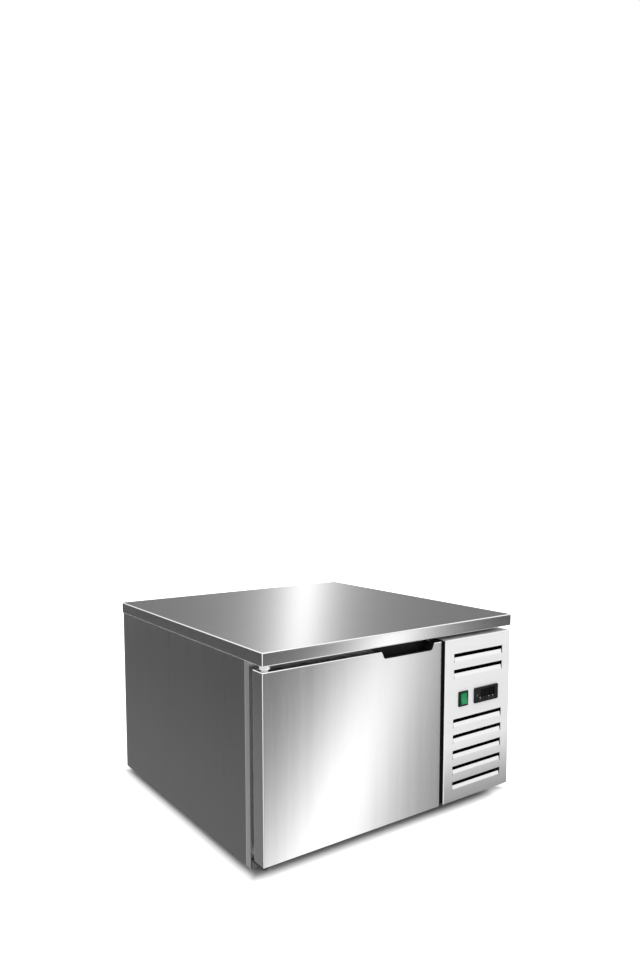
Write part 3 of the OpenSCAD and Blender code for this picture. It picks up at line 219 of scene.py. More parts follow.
class Finish(Surface):
    """A surface with the patterns that the pieces need."""

    def place(self):
        """The point on the object, in metres."""
        return self.node("ShaderNodeTexCoord", output="Object")

    def split(self):
        """The X, Y and Z of the point, as three fields."""
        x = self.node("ShaderNodeSeparateXYZ", {}, {0: self.place()})
        return [Field(self, socket) for socket in x.socket.node.outputs]

    def stretched(self, pitch):
        """The point times a pitch: one number, or one for each axis."""
        pitch = pitch if isinstance(pitch, list) else [pitch] * 3
        return self.node("ShaderNodeVectorMath", {"operation": "MULTIPLY"},
                         {0: self.place(), 1: pitch})

    def noise(self, pitch, detail=2.0, roughness=0.5):
        """Soft noise with about that many blotches a metre."""
        return self.node("ShaderNodeTexNoise", {},
                         {"Vector": self.stretched(pitch), "Scale": 1.0, "Detail": detail,
                          "Roughness": roughness})

    def mixed(self, factor, low, high):
        """The colour low where the factor is 0, and high where it is 1."""
        low, high = (c if isinstance(c, Field) else (*c, 1) for c in (low, high))
        return self.node("ShaderNodeMix", {"data_type": "RGBA"},
                         {"Factor": factor, MIX_A: low, MIX_B: high}, output=MIX_RESULT)

    def shaded(self, colour, level):
        """A colour multiplied by a grey."""
        return self.node("ShaderNodeMix", {"data_type": "RGBA", "blend_type": "MULTIPLY"},
                         {"Factor": 1.0, MIX_A: colour, MIX_B: level}, output=MIX_RESULT)

    def ranged(self, value, low, high, to_low=0.0, to_high=1.0):
        """Value taken from one range to another, smoothly and within its ends."""
        return self.node("ShaderNodeMapRange", {"interpolation_type": "SMOOTHSTEP"},
                         {"Value": value, "From Min": low, "From Max": high,
                          "To Min": to_low, "To Max": to_high})

    def bump(self, height, distance, strength):
        return self.node("ShaderNodeBump", {}, {"Height": height, "Distance": distance,
                                                "Strength": strength})


# %% [markdown]
# ## Brushed steel
# The sheets are stainless steel that a belt has brushed. It leaves fine scratches that all run
# one way, and broader streaks where it bit deeper. A picture of such a sheet would show its
# tiles on a wide door, so noise stretched along one axis draws them instead, at any size. The
# scratches go to the roughness and the bump, and the streaks to the colour.

# %% Brushed steel
ALONG_X, ALONG_Y, ALONG_Z = range(3)
SCRATCHES_A_METRE = (1500, 14)
STREAKS_A_METRE = (55, 1.1)
CLOUDS_A_METRE = 5
SCRATCH_DEPTH = 0.02 * MM
DARKEST, BRIGHTEST = 0.8, 1.2
FAINT, SHADE_GAIN = 0.05, 2.5


def brushed(steel, tint, grain, roughness, streak=0.08):
    """Gives a finish scratches that run along one axis, and returns its colour."""
    def along_grain(pitches, **looks):
        across, lengthways = pitches
        return steel.noise([lengthways if axis == grain else across for axis in range(3)],
                           **looks)

    scratches = along_grain(SCRATCHES_A_METRE, detail=3)
    streaks = along_grain(STREAKS_A_METRE, detail=4, roughness=0.6)
    clouds = steel.noise(CLOUDS_A_METRE)
    shade = (streaks - 0.5) * streak + (clouds - 0.5) * FAINT + (scratches - 0.5) * FAINT
    colour = steel.mixed(shade * SHADE_GAIN + 0.5, [DARKEST * c for c in tint],
                         [min(1, BRIGHTEST * c) for c in tint])
    steel.set(
        Base_Color=colour,
        Roughness=roughness + (scratches - 0.5) * 0.12 + (streaks - 0.5) * 0.08,
        Normal=steel.bump(scratches, SCRATCH_DEPTH, 0.5),
    )
    return colour


# %% [markdown]
# A fold in sheet metal has a rounded back, which always mirrors something bright. The solids
# fold sharply, so a painted highlight, a thin pale line, follows the edges of each folded sheet.
# A Bevel node could round the shading there, but it casts extra rays at every point of the
# sheet, and the painted line costs next to nothing.

# %% Folded sheets
FOLD_W = 1.9 * MM
GLEAM = grey(0.95)


def fold_highlights(steel, low, high, under=False):
    """Where the painted fold highlight lies: 1 along a box's edges, 0 away. Under adds the
    lowest edges.
    """
    x, y, z = steel.split()
    gaps = (x.depth(low.x, high.x), y.depth(low.y, high.y),
            z.depth(low.z, high.z) if under else high.z - z)
    x, y, z = (steel.ranged(gap, 0.4 * FOLD_W, FOLD_W, 1, 0) for gap in gaps)
    return (x * y).most(y * z).most(z * x)


def brushed_steel(name, tint, grain, roughness, streak=0.08, folded=None, under=False):
    """Plain brushed sheet. Folded names the node whose edges get a painted highlight, a pale
    line.
    """
    steel = Finish(name, Metallic=1.0)
    colour = brushed(steel, tint, grain, roughness, streak)
    if folded:
        line = fold_highlights(steel, *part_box(folded), under)
        steel.set(Base_Color=steel.mixed(line, colour, GLEAM), Metallic=1 - line * 0.8)
    return steel.material


finishes = {
    "worktop_steel": brushed_steel("worktop steel", (0.64, 0.64, 0.645), ALONG_X, 0.15,
                                   folded="worktop", under=True),
    "door_steel": brushed_steel("door steel", (0.62, 0.62, 0.625), ALONG_Z, 0.2, 0.14,
                                folded="door_skin"),
    "chamber_steel": brushed_steel("chamber steel", (0.64, 0.64, 0.645), ALONG_Y, 0.3),
    # The bracket's steel is tinted near black as painted shade, so that it sinks into the shadow
    # under the door.
    "bracket_steel": brushed_steel("bracket steel", (0.16, 0.16, 0.165), ALONG_X, 0.4),
}
print("plain steels:", len(finishes))

# %% [markdown]
# ## Sheets with a black side and painted light
# The side panels carry a black coat inside that deadens their sound, and their outside is
# tinted darker than the door's steel as painted shade. The front frame is bare where it shows,
# with a painted highlight on its front edge and painted black shade behind the louvres, so that
# nothing shines through them. Each is one sheet, and its faces could be given two materials.
# Here one material is kept, and the point's depth in the object decides: a pair of depths says
# where a change starts and where it is complete.

# %% Side panels and front frame
BLACK_COAT_AND_SHADE = grey(0.012)
COAT_SETS_IN = (0.3 * MM, 0.6 * MM)
SKIN = (0.4 * MM, 0.7 * MM)
EDGE_BEHIND = (-1.9 * MM, -0.8 * MM)
BAY_BEHIND = (2 * MM, 3 * MM)


def lined_side(name):
    """Brushed steel outside, tinted darker as painted shade, and a black coat between the outer
    faces.
    """
    low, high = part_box("left_side_panel")[0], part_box("right_side_panel")[1]
    steel = Finish(name)
    colour = brushed(steel, (0.38, 0.38, 0.385), ALONG_Z, 0.3, streak=0.05)
    x = steel.split()[0]
    inside = steel.ranged(x.depth(low.x, high.x), *COAT_SETS_IN)
    steel.set(Base_Color=steel.mixed(inside, colour, BLACK_COAT_AND_SHADE), Metallic=1 - inside * 0.9)
    return steel.material


def front_frame_steel(name):
    """The frame: a painted highlight on its open front edge, and painted black shade behind the
    louvres.
    """
    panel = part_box("service_panel")[0]
    front_y, right_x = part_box("left_side_panel")[0].y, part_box("front_frame")[1].x
    steel = Finish(name)
    colour = brushed(steel, (0.72, 0.72, 0.725), ALONG_Z, 0.3)
    x, y, _ = steel.split()
    # Painted highlight: pale grey from just before the side panels' front backwards.
    edge = steel.ranged(y - front_y, *EDGE_BEHIND)
    # Painted shade: black in the bay behind the louvres.
    bay = (steel.ranged(x - panel.x, 0, MM) * steel.ranged(y - panel.y, *BAY_BEHIND)
           * steel.ranged(right_x - x, *SKIN))
    pale = steel.mixed(edge, colour, grey(0.9))
    steel.set(Base_Color=steel.mixed(bay, pale, BLACK_COAT_AND_SHADE), Metallic=(0.9 - edge * 0.3) * (1 - bay))
    return steel.material


finishes |= {
    "side_steel": lined_side("side steel"),
    "frame_steel": front_frame_steel("frame steel"),
}
print("steels:", len(finishes))

# %% [markdown]
# ## The louvred service panel
# The panel is one folded tray. A punch cuts each louvre free on three sides and bends it in,
# so the tongue leans back and catches the light from above; a painted highlight makes the
# tongues paler than the face. The tray is duller than the door, and painted shade makes it
# greyer near the floor. Painted black shade fills its inside and laps over the tongues where
# they reach deepest, and covers the side flange at the gap by the door. All of that depends on
# how deep a point lies behind the face, so a few smooth steps of that depth mark the places.

# %% Louvred steel
TONGUE_DEPTH = (0.15 * MM, 0.8 * MM)
TONGUE_FROM_EDGE = (3 * MM, 5 * MM)
SHADE_DEPTH = (3.05 * MM, 3.55 * MM)
FLANGE_DEPTH = (1.4 * MM, 1.9 * MM)
FLANGE_W = (0.2 * MM, 0.5 * MM)
NEAR_FLOOR = (0.02, 0.18)
FLOOR_SHADE = 0.42


def louvred_steel(name):
    low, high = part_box("service_panel")
    steel = Finish(name, Metallic=0.12)
    colour = brushed(steel, grey(0.8), ALONG_X, 0.42, 0.1)
    x, y, z = steel.split()
    from_edge, behind = x.depth(low.x, high.x).least(z.depth(low.z, high.z)), y - low.y
    # Painted highlight: the tongues, which lean back, are paler than the face.
    tongue = steel.ranged(behind, *TONGUE_DEPTH) * steel.ranged(from_edge, *TONGUE_FROM_EDGE)
    # Painted black shade inside the tray and over the tongues' deepest parts.
    painted_inside_shade = steel.ranged(from_edge, *SKIN) * steel.ranged(behind, *SHADE_DEPTH)
    # Painted black shade on the side flange at the gap by the door.
    gap_side = steel.ranged(x - low.x, *FLANGE_W, 1, 0) * steel.ranged(behind, *FLANGE_DEPTH)
    # Painted shade: greyer towards the floor.
    bare = steel.shaded(colour, steel.ranged(z, *NEAR_FLOOR, FLOOR_SHADE, 1))
    lit = steel.mixed(tongue, bare, grey(0.86))
    # Painted highlight along the folded edges.
    gleaming = steel.mixed(fold_highlights(steel, low, high), lit, grey(0.97))
    steel.set(Base_Color=steel.mixed(painted_inside_shade.most(gap_side), gleaming, BLACK_COAT_AND_SHADE))
    return steel.material


finishes["panel_steel"] = louvred_steel("panel steel")
print("steels:", len(finishes))

# %% [markdown]
# ## Galvanised sheet
# The sheets that nobody sees are galvanised. Zinc freezes into a patchwork of crystals, each a
# slightly different grey. A Voronoi texture is just such a patchwork, with one random colour
# for each cell, so its brightness is mixed into both the colour and the roughness.

# %% Galvanised sheet
CRYSTALS_A_METRE = 150


def galvanised(name):
    sheet = Finish(name, Metallic=0.85)
    crystals = sheet.node("ShaderNodeTexVoronoi", {"feature": "F1"},
                          {"Vector": sheet.stretched(CRYSTALS_A_METRE), "Scale": 1.0},
                          output="Color")
    level = sheet.node("ShaderNodeRGBToBW", {}, {"Color": crystals})
    sheet.set(
        Base_Color=sheet.mixed(level, (0.48, 0.49, 0.505), (0.58, 0.59, 0.6)),
        Roughness=level * 0.14 + 0.36,
    )
    return sheet.material


finishes["galvanised_steel"] = galvanised("galvanised sheet")
print("zinc crystals:", round(1 / CRYSTALS_A_METRE / MM, 1), "mm across")

# %% [markdown]
# ## Drawn, stamped and plated metal
# Copper tube, aluminium fins and zinc plating have no grain. They have soft blotches where
# they were handled or have dulled, and a skin that isn't quite smooth. Two noises are enough:
# a slow one for colour and roughness, and a fine one for the bump.

# %% Other metals
BLOTCHES_A_METRE = 60
METAL_PITS_A_METRE = 700
METAL_PIT_DEPTH = 0.03 * MM


def plain_metal(name, low, high, roughness, blotches_a_metre=BLOTCHES_A_METRE):
    metal = Finish(name, Metallic=1.0)
    blotches = metal.noise(blotches_a_metre, detail=4)
    metal.set(
        Base_Color=metal.mixed(blotches, low, high),
        Roughness=(blotches - 0.5) * 0.2 + roughness,
        Normal=metal.bump(metal.noise(METAL_PITS_A_METRE), METAL_PIT_DEPTH, 0.4),
    )
    return metal.material


finishes |= {
    "zinc_screws": plain_metal("zinc plating", grey(0.5), (0.72, 0.72, 0.7), 0.3),
    "guard_steel": plain_metal("bright wire", (0.66, 0.67, 0.68), (0.8, 0.8, 0.81), 0.16),
    "fan_aluminium": plain_metal("stamped aluminium", (0.6, 0.6, 0.61), (0.74, 0.74, 0.75), 0.4),
    "coil_black": plain_metal("black coil paint", (0.012, 0.012, 0.013), grey(0.03), 0.5),
    "fin_aluminium": plain_metal("fin stock", (0.66, 0.67, 0.68), (0.78, 0.78, 0.8), 0.32),
    "pipe_copper": plain_metal("copper tube", (0.56, 0.25, 0.15), (0.78, 0.42, 0.28), 0.3, 25),
}
print("finishes:", len(finishes))

# %% [markdown]
# ## Foam
# The walls and the door are filled with rigid foam: closed cells a couple of millimetres wide,
# yellowed unevenly. A smooth Voronoi texture in the bump rounds each cell, and costs no
# geometry on a piece that hardly shows.

# %% Rigid foam
CELLS_A_METRE = 500
CELL_DEPTH = 0.6 * MM


def foamed(name):
    foam = Finish(name, Roughness=0.95)
    cells = foam.node("ShaderNodeTexVoronoi", {"feature": "SMOOTH_F1"},
                      {"Vector": foam.stretched(CELLS_A_METRE), "Scale": 1.0})
    foam.set(
        Base_Color=foam.mixed(foam.noise(20), (0.72, 0.6, 0.34), (0.84, 0.74, 0.5)),
        Normal=foam.bump(cells, CELL_DEPTH, 0.8),
    )
    return foam.material


finishes["foam"] = foamed("rigid foam")
print("foam cells:", 1 / CELLS_A_METRE / MM, "mm wide")

# %% [markdown]
# ## The green rocker
# The switch has a translucent green cap. Light comes through its middle, where the wall is
# thin, and less through its rim. Real transmission would need a lamp inside and much more
# rendering time, so the colour is mixed by the distance from the rim instead.

# %% Translucent rocker
RIM_W = 6 * MM


def translucent(name, node):
    low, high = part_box(node)
    lens = Finish(name, Roughness=0.22, Specular_IOR_Level=0.25, Coat_Weight=0.2)
    x, _, z = lens.split()
    middle = (lens.ranged(x.depth(low.x, high.x), 0, RIM_W)
              * lens.ranged(z.depth(low.z, high.z), 0, RIM_W))
    cloud = lens.noise(260)
    lens.set(
        Base_Color=lens.mixed(middle * 0.75 + cloud * 0.35,
                              (0.0, 0.06, 0.02), (0.008, 0.26, 0.09)),
        Normal=lens.bump(cloud, 0.02 * MM, 0.4),
    )
    return lens.material


finishes["rocker_green"] = translucent("green rocker", "power_rocker")
print("rocker rim:", RIM_W / MM, "mm")

# %% [markdown]
# ## Plastics, rubber, paint and board
# A mould is eroded by sparks, which leaves tiny even pits on what comes out of it. Hands
# polish them away here and there. So a moulded finish is a fine noise in the bump and a slow
# change of colour and roughness. Paint, rubber and board differ only in how deep and how far
# apart their pits are.

# %% Moulded finishes
HANDLING_A_METRE = 14
PITS_A_METRE = 1400
PIT_DEPTH = 0.05 * MM


def moulded(name, low, high, roughness, pit_depth=PIT_DEPTH, pits_a_metre=PITS_A_METRE,
            **sockets):
    plastic = Finish(name, **sockets)
    handling = plastic.noise(HANDLING_A_METRE, detail=3)
    pits = plastic.noise(pits_a_metre)
    plastic.set(
        Base_Color=plastic.mixed(handling, low, high),
        Roughness=(handling - 0.5) * 0.16 + roughness,
        Normal=plastic.bump(pits, pit_depth, 0.6),
    )
    return plastic.material


finishes |= {
    "core_board": moulded("grey board", grey(0.05), grey(0.11), 0.8, 0.3 * MM, 400),
    "bush_white": moulded("white nylon", (0.78, 0.78, 0.76), (0.88, 0.88, 0.86), 0.36,
                          Subsurface_Weight=0.2, Subsurface_Radius=grey(2 * MM)),
    "bush_grey": moulded("grey nylon", grey(0.02), grey(0.05), 0.42),
    "seal_grey": moulded("magnetic seal", (0.14, 0.14, 0.145), (0.2, 0.2, 0.205), 0.5),
    "break_grey": moulded("thermal break", (0.16, 0.16, 0.165), (0.22, 0.22, 0.225), 0.45),
    "foot_rubber": moulded("foot rubber", grey(0.012), grey(0.025), 0.75, 0.1 * MM,
                           Specular_IOR_Level=0.3),
    "drain_white": moulded("drain plastic", (0.66, 0.66, 0.64), (0.76, 0.76, 0.74), 0.4),
    "fan_motor_black": moulded("motor paint", (0.014, 0.014, 0.015), (0.03, 0.03, 0.032), 0.36),
    "compressor_black": moulded("compressor paint", grey(0.008), grey(0.02), 0.22, 0.1 * MM, 300,
                                Coat_Weight=0.4),
    "box_plastic": moulded("grey enclosure", (0.1, 0.1, 0.105), (0.14, 0.14, 0.145), 0.5),
    "gland_black": moulded("gland nylon", grey(0.012), grey(0.024), 0.4),
}
print("finishes:", len(finishes))

# %% [markdown]
# ## What hands touch
# The handle, the controller and its keys are black, but not equally so. The window over the
# display is nearly a mirror, the bezel is satin, and the keys are soft rubber. Each gets a
# weaker specular than the default, because black plastic that is lit from all round would
# otherwise look grey. The marks beside the keys are white print.

# %% Controls and handle
finishes |= {
    "black_plastic": moulded("black moulding", grey(0.006), grey(0.014), 0.42,
                             Specular_IOR_Level=0.25),
    "control_black": moulded("control housing", (0.006, 0.007, 0.007), (0.014, 0.015, 0.015),
                             0.34, 0.02 * MM, Specular_IOR_Level=0.2),
    "key_grey": moulded("rubber keys", (0.016, 0.016, 0.017), (0.03, 0.03, 0.032), 0.5,
                        Specular_IOR_Level=0.3),
    "display_black": moulded("smoked window", grey(0.001), grey(0.003), 0.08, 0.002 * MM,
                             Specular_IOR_Level=0.12),
    "display_segment": moulded("unlit segments", grey(0.01), grey(0.018), 0.4,
                               Specular_IOR_Level=0.1),
    "key_marks": moulded("printed marks", (0.6, 0.61, 0.61), grey(0.8), 0.6, 0.01 * MM),
}
print("finishes:", len(finishes))

# %% [markdown]
# ## Giving the CAD nodes their finishes
# The record names a slot for each node, so one loop dresses them all. Their meshes stay as
# they are, and only their material slots change.

# %% Assign the finishes
slot_of = {row["node"]: row["material_slot"] for row in frame["record"]["subparts"]}
for name, node in nodes.items():
    node.data.materials.clear()
    node.data.materials.append(finishes[slot_of[name]])
print("dressed:", len(nodes), "nodes in", len(set(slot_of.values())), "finishes")

# %% [markdown]
# ## Making extra pieces
# Small detail is modelled with bmesh operators, in place and at full size, so that each
# object can stay at the origin. It rides on the body that carries the node it stands for or
# sits on: a screw in the back stays with the cabinet, and the seal swings with the door.

# %% Piece helpers
body_of = {name: body for body, empty in frame["bodies"].items()
           for name, node in nodes.items() if node.parent == empty}


def linked(name, shape, material):
    """Makes an object of a bmesh and frees the bmesh."""
    mesh = bpy.data.meshes.new(name)
    shape.to_mesh(mesh)
    shape.free()
    mesh.materials.append(material)
    obj = bpy.data.objects.new(name, mesh)
    scene.collection.objects.link(obj)
    return obj


def piece(name, shape, slot, node, replaces=False, smooth_deg=35):
    """Makes a piece with a finish, riding on the body of a node."""
    bmesh.ops.recalc_face_normals(shape, faces=shape.faces[:])
    obj = linked(name, shape, finishes[slot])
    obj.data.shade_smooth()
    obj.data.set_sharp_from_angle(angle=math.radians(smooth_deg))
    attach(obj, body_of[node])
    if replaces:
        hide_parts(node)
    print(name, len(obj.data.polygons), "faces")


def added(shape, before):
    """The vertices that a bmesh has now and didn't have before."""
    return [v for v in shape.verts if v not in before]


print("nodes on bodies:", len(body_of))

# %% [markdown]
# ## Screw heads
# Pan-head screws hold the sheets. A header upsets the head from wire, and a punch presses the
# cross recess. The same steps work on a grid of five by five: its rim is pulled round, its
# cross is extruded down, a skirt is drawn to the sheet, and the upper edge is bevelled. A
# boolean could cut the cross too, but it would leave long thin faces on the dome.

# %% Cross-head screws
ARM_HALF_W, ARM_REACH = 0.14, 0.56
DOME, RECESS, EDGE = 0.4, 0.55, 0.2


def cross_head(shape, radius, height, place):
    """A pan head that stands on the XY plane and looks up."""
    before = set(shape.verts)
    lines = (-1, -ARM_REACH, -ARM_HALF_W, ARM_HALF_W, ARM_REACH, 1)
    bmesh.ops.create_grid(shape, x_segments=5, y_segments=5, size=1)
    grid = added(shape, before)
    for v in grid:
        at = Vector([lines[round((c + 1) * 2.5)] for c in v.co.xy] + [0])
        if max(abs(at.x), abs(at.y)) == 1:
            at.normalize()
        v.co = at * radius
        v.co.z = height * (1 - DOME * at.length_squared)
    rim = [e for e in shape.edges if e.is_boundary and e.verts[0] in grid]
    cross = []
    for face in {f for v in grid for f in v.link_faces}:
        near, far = sorted(abs(c) / radius for c in face.calc_center_median().xy)
        if near < ARM_HALF_W / 2 and far < ARM_REACH:
            cross.append(face)
    pushed = bmesh.ops.extrude_face_region(shape, geom=cross)["geom"]
    bmesh.ops.translate(shape, vec=(0, 0, -RECESS * height),
                        verts=[g for g in pushed if isinstance(g, bmesh.types.BMVert)])
    skirt = bmesh.ops.extrude_edge_only(shape, edges=rim)["geom"]
    for v in skirt:
        if isinstance(v, bmesh.types.BMVert):
            v.co.z = 0
    bmesh.ops.bevel(shape, geom=rim, offset=EDGE * height, segments=2, profile=0.5,
                    affect="EDGES", material=-1)
    bmesh.ops.transform(shape, matrix=place, verts=added(shape, before))


# %% [markdown]
# Two screws under the service panel hold it to the base. Their heads look down, so the head
# is turned over about X before it is put in place.

# %% Screws under the panel
FACING_DOWN = Matrix.Rotation(math.pi, 4, "X")
low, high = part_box("panel_screws")
radius = (high.y - low.y) / 2
heads = bmesh.new()
for x in (low.x + radius, high.x - radius):
    cross_head(heads, radius, high.z - low.z,
               Matrix.Translation((x, low.y + radius, high.z)) @ FACING_DOWN)
piece("panel_screw_heads", heads, "zinc_screws", "panel_screws", replaces=True)

# %% [markdown]
# The back panel has a row of screws down each side, so that it can come off for service. The
# rows are spaced evenly between the ends of the screws' box.

# %% Screws in the back
BACK_ROWS = 4
BACK_HEAD_R = 4 * MM
FACING_BACK = Matrix.Rotation(math.radians(-90), 4, "X")


def spread(low, high, count):
    """That many evenly spaced numbers from low to high."""
    return [low + (high - low) * i / (count - 1) for i in range(count)]


low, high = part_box("back_screws")
heads = bmesh.new()
for x in (low.x + BACK_HEAD_R, high.x - BACK_HEAD_R):
    for z in spread(low.z + BACK_HEAD_R, high.z - BACK_HEAD_R, BACK_ROWS):
        cross_head(heads, BACK_HEAD_R, high.y - low.y,
                   Matrix.Translation((x, low.y, z)) @ FACING_BACK)
piece("back_screw_heads", heads, "zinc_screws", "back_screws", replaces=True)

# %% [markdown]
# ## Feet
# A rubber foot is moulded in one piece, with grooves round its side that let it give a little
# and rings under it that grip. It is round, so one outline turned about its axis gives all of
# them, and a change to one number moves a groove all the way round.


# %% Rubber feet
def turned(shape, outline, place, steps, closed=False):
    """Spins an outline of (radius, height) points about Z and puts it in place."""
    before = set(shape.verts)
    points = [shape.verts.new((r, 0, z)) for r, z in outline]
    ends = points[1:] + points[:1] if closed else points[1:]
    edges = [shape.edges.new(pair) for pair in zip(points, ends)]
    bmesh.ops.spin(shape, geom=points + edges, axis=(0, 0, 1), cent=(0, 0, 0),
                   angle=math.tau, steps=steps, use_merge=True)
    bmesh.ops.remove_doubles(shape, verts=added(shape, before), dist=1e-7)
    bmesh.ops.transform(shape, matrix=place, verts=added(shape, before))


FOOT_MM = 21
GROOVE_MM = 0.8
SOLE = [(0, 0.8), (5, 0.8), (5.6, 0), (9, 0), (9.6, 0.8), (12.4, 0.8), (13, 0), (19.8, 0),
        (FOOT_MM, 1.2)]
low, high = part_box("feet")
outline = list(SOLE)
for groove in (3.4, 6.6, 9.8):
    outline += [(FOOT_MM, groove), (FOOT_MM - GROOVE_MM, groove + 0.5),
                (FOOT_MM - GROOVE_MM, groove + 1.3), (FOOT_MM, groove + 1.8)]
outline += [(FOOT_MM, (high.z - low.z) / MM), (0, (high.z - low.z) / MM)]
feet = bmesh.new()
for x in (low.x + FOOT_MM * MM, high.x - FOOT_MM * MM):
    for y in (low.y + FOOT_MM * MM, high.y - FOOT_MM * MM):
        turned(feet, [(r * MM, z * MM) for r, z in outline], Matrix.Translation((x, y, low.z)),
               steps=48)
piece("rubber_feet", feet, "foot_rubber", "feet", replaces=True)

# %% [markdown]
# ## Door seal
# A magnetic seal is an extruded profile, cut to length and welded at the mitred corners: a
# dart at the back, a bellows that lets it stretch, and a chamber in front that holds the
# magnet. A curve with a bevel could run the profile round, but its corners would shear. So
# each point of the profile becomes a rectangle, and neighbouring rectangles are bridged.


# %% Magnetic seal
def framed(shape, profile, low, high):
    """Runs a closed profile of (inset, y) points round a rectangle, with mitred corners."""
    rings = []
    for inset, y in profile:
        verts = bmesh.ops.create_grid(shape, x_segments=1, y_segments=1, size=1)["verts"]
        for v in verts:
            v.co = ((high.x - inset) if v.co.x > 0 else (low.x + inset), y,
                    (high.z - inset) if v.co.y > 0 else (low.z + inset))
        face = verts[0].link_faces[0]
        rings.append(list(face.edges))
        bmesh.ops.delete(shape, geom=[face], context="FACES_ONLY")
    for ring, following in zip(rings, rings[1:] + rings[:1]):
        bmesh.ops.bridge_loops(shape, edges=ring + following)


SEAL_W = 20 * MM
HALF_PROFILE = [(0, 0), (0, 0.2), (2.6, 0.24), (1.0, 0.36), (2.8, 0.47), (1.0, 0.58),
                (2.2, 0.66), (0.4, 0.72), (0, 0.78), (0, 0.96), (0.6, 1)]
low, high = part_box("door_seal")
outer = [(inset * MM, low.y + share * (high.y - low.y)) for inset, share in HALF_PROFILE]
inner = [(SEAL_W - inset, y) for inset, y in reversed(outer)]
seal = bmesh.new()
framed(seal, outer + inner, low, high)
piece("magnetic_seal", seal, "seal_grey", "door_seal", replaces=True, smooth_deg=60)

# %% [markdown]
# ## Fan guard
# A guard is welded of round wire: rings on spokes, with the spokes' ends bent back to feet.
# Each ring is a small circle of wire spun about the fan's axis, and each spoke is a thin
# prism. The solid guard has flat wire, which is kept for collision only.


# %% Wire guard
def prism(shape, sides, size, place):
    """A straight prism, scaled to a size, standing on Z."""
    bmesh.ops.create_cone(shape, cap_ends=True, segments=sides, radius1=0.5, radius2=0.5,
                          depth=1, matrix=place @ Matrix.Diagonal((*size, 1)))


FACING_FRONT = Matrix.Rotation(math.radians(90), 4, "X")
WIRE_R = 1.1 * MM
RINGS, SPOKES = 5, 4
RING_INSET = 8 * MM
ROUND_SIDES, SPOKE_SIDES = 8, 12
low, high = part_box("evaporator_fan_guard")
centre, reach = (low + high) / 2, (high.x - low.x) / 2
facing = Matrix.Translation((centre.x, low.y, centre.z)) @ FACING_BACK
wire = [(WIRE_R * math.cos(a), WIRE_R * math.sin(a))
        for a in spread(0, math.tau * (1 - 1 / ROUND_SIDES), ROUND_SIDES)]
guard = bmesh.new()
for ring in range(1, RINGS + 1):
    at = (reach - RING_INSET) * ring / RINGS - WIRE_R
    turned(guard, [(at + r, WIRE_R + z) for r, z in wire], facing, steps=72, closed=True)
for spoke in range(SPOKES):
    turn = Matrix.Rotation(math.pi * spoke / SPOKES, 4, "Z")
    lie = Matrix.Translation((0, 0, 2 * WIRE_R)) @ FACING_FRONT
    prism(guard, SPOKE_SIDES, (2 * WIRE_R, 2 * WIRE_R, 2 * (reach - WIRE_R)),
          facing @ turn @ lie)
    for side in (-1, 1):
        back = high.y - low.y - WIRE_R
        stand = Matrix.Translation((0, side * (reach - WIRE_R), WIRE_R + back / 2))
        prism(guard, SPOKE_SIDES, (2 * WIRE_R, 2 * WIRE_R, back), facing @ turn @ stand)
piece("wire_guard", guard, "guard_steel", "evaporator_fan_guard", replaces=True)

# %% [markdown]
# ## Behind the smoked window
# The display shows three digits of seven segments and a column of indicator dots. They are
# unlit, a trace paler than the window. Each segment is a hexagon stretched into a bar with
# pointed ends, as it is on a real display.

# %% Unlit digits
PRINT_T = 0.08 * MM
DIGITS_AT = (-14 * MM, -1 * MM, 12 * MM)
TALL, STROKE = 10.5 * MM, 1.1 * MM
DOT_W, DOT_INSET = 1.2 * MM, 2.5 * MM
QUARTER_TURN = Matrix.Rotation(math.radians(90), 4, "Z")


def on_front(x, y, z):
    """A place on a front face, whose X stays X and whose Y points up."""
    return Matrix.Translation((x, y, z)) @ FACING_FRONT


low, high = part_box("controller_display")
middle = (low + high) / 2
bar = (STROKE, 0.46 * TALL, PRINT_T)
segments = bmesh.new()
for x in DIGITS_AT:
    digit = on_front(middle.x + x, low.y, middle.z)
    for up in (0.5, 0, -0.5):
        prism(segments, 6, bar, digit @ Matrix.Translation((0, up * TALL, 0)) @ QUARTER_TURN)
    for side in (-0.27, 0.27):
        for up in (-0.25, 0.25):
            prism(segments, 6, bar, digit @ Matrix.Translation((side * TALL, up * TALL, 0)))
for z in spread(-5 * MM, 5 * MM, 4):
    prism(segments, 16, (DOT_W, DOT_W, PRINT_T),
          on_front(low.x + DOT_INSET, low.y, middle.z + z))
piece("display_segments", segments, "display_segment", "controller_display")

# %% [markdown]
# ## Marks beside the keys
# A small generic mark tells what each key does: triangles for up and down, a ring for the
# setting and a star for the defrost. They are printed, so each is a shape that stands a few
# hundredths of a millimetre proud of the bezel.

# %% Printed marks
MARK_RISE = 4.2 * MM
TRIANGLE = (3 * MM, 2.6 * MM, PRINT_T)
RAY = (0.5 * MM, 2.9 * MM, PRINT_T)
RING_IN, RING_OUT = 0.7 * MM, 1.3 * MM
HALF_TURN = Matrix.Rotation(math.pi, 4, "Z")
face_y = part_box("controller_housing")[0].y


def above(key, rise=MARK_RISE):
    """A place on the bezel above a key, or below it if the rise is negative."""
    low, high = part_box(key)
    return on_front((low.x + high.x) / 2, face_y, (low.z + high.z) / 2 + rise)


marks = bmesh.new()
prism(marks, 3, TRIANGLE, above("key_up"))
prism(marks, 3, TRIANGLE, above("key_down") @ HALF_TURN)
turned(marks, [(RING_IN, -PRINT_T / 2), (RING_OUT, -PRINT_T / 2), (RING_OUT, PRINT_T / 2),
               (RING_IN, PRINT_T / 2)], above("key_set"), steps=20, closed=True)
for turn in (0, 60, 120):
    prism(marks, 4, RAY, above("key_defrost", -MARK_RISE)
          @ Matrix.Rotation(math.radians(turn), 4, "Z"))
piece("printed_marks", marks, "key_marks", "controller_housing")

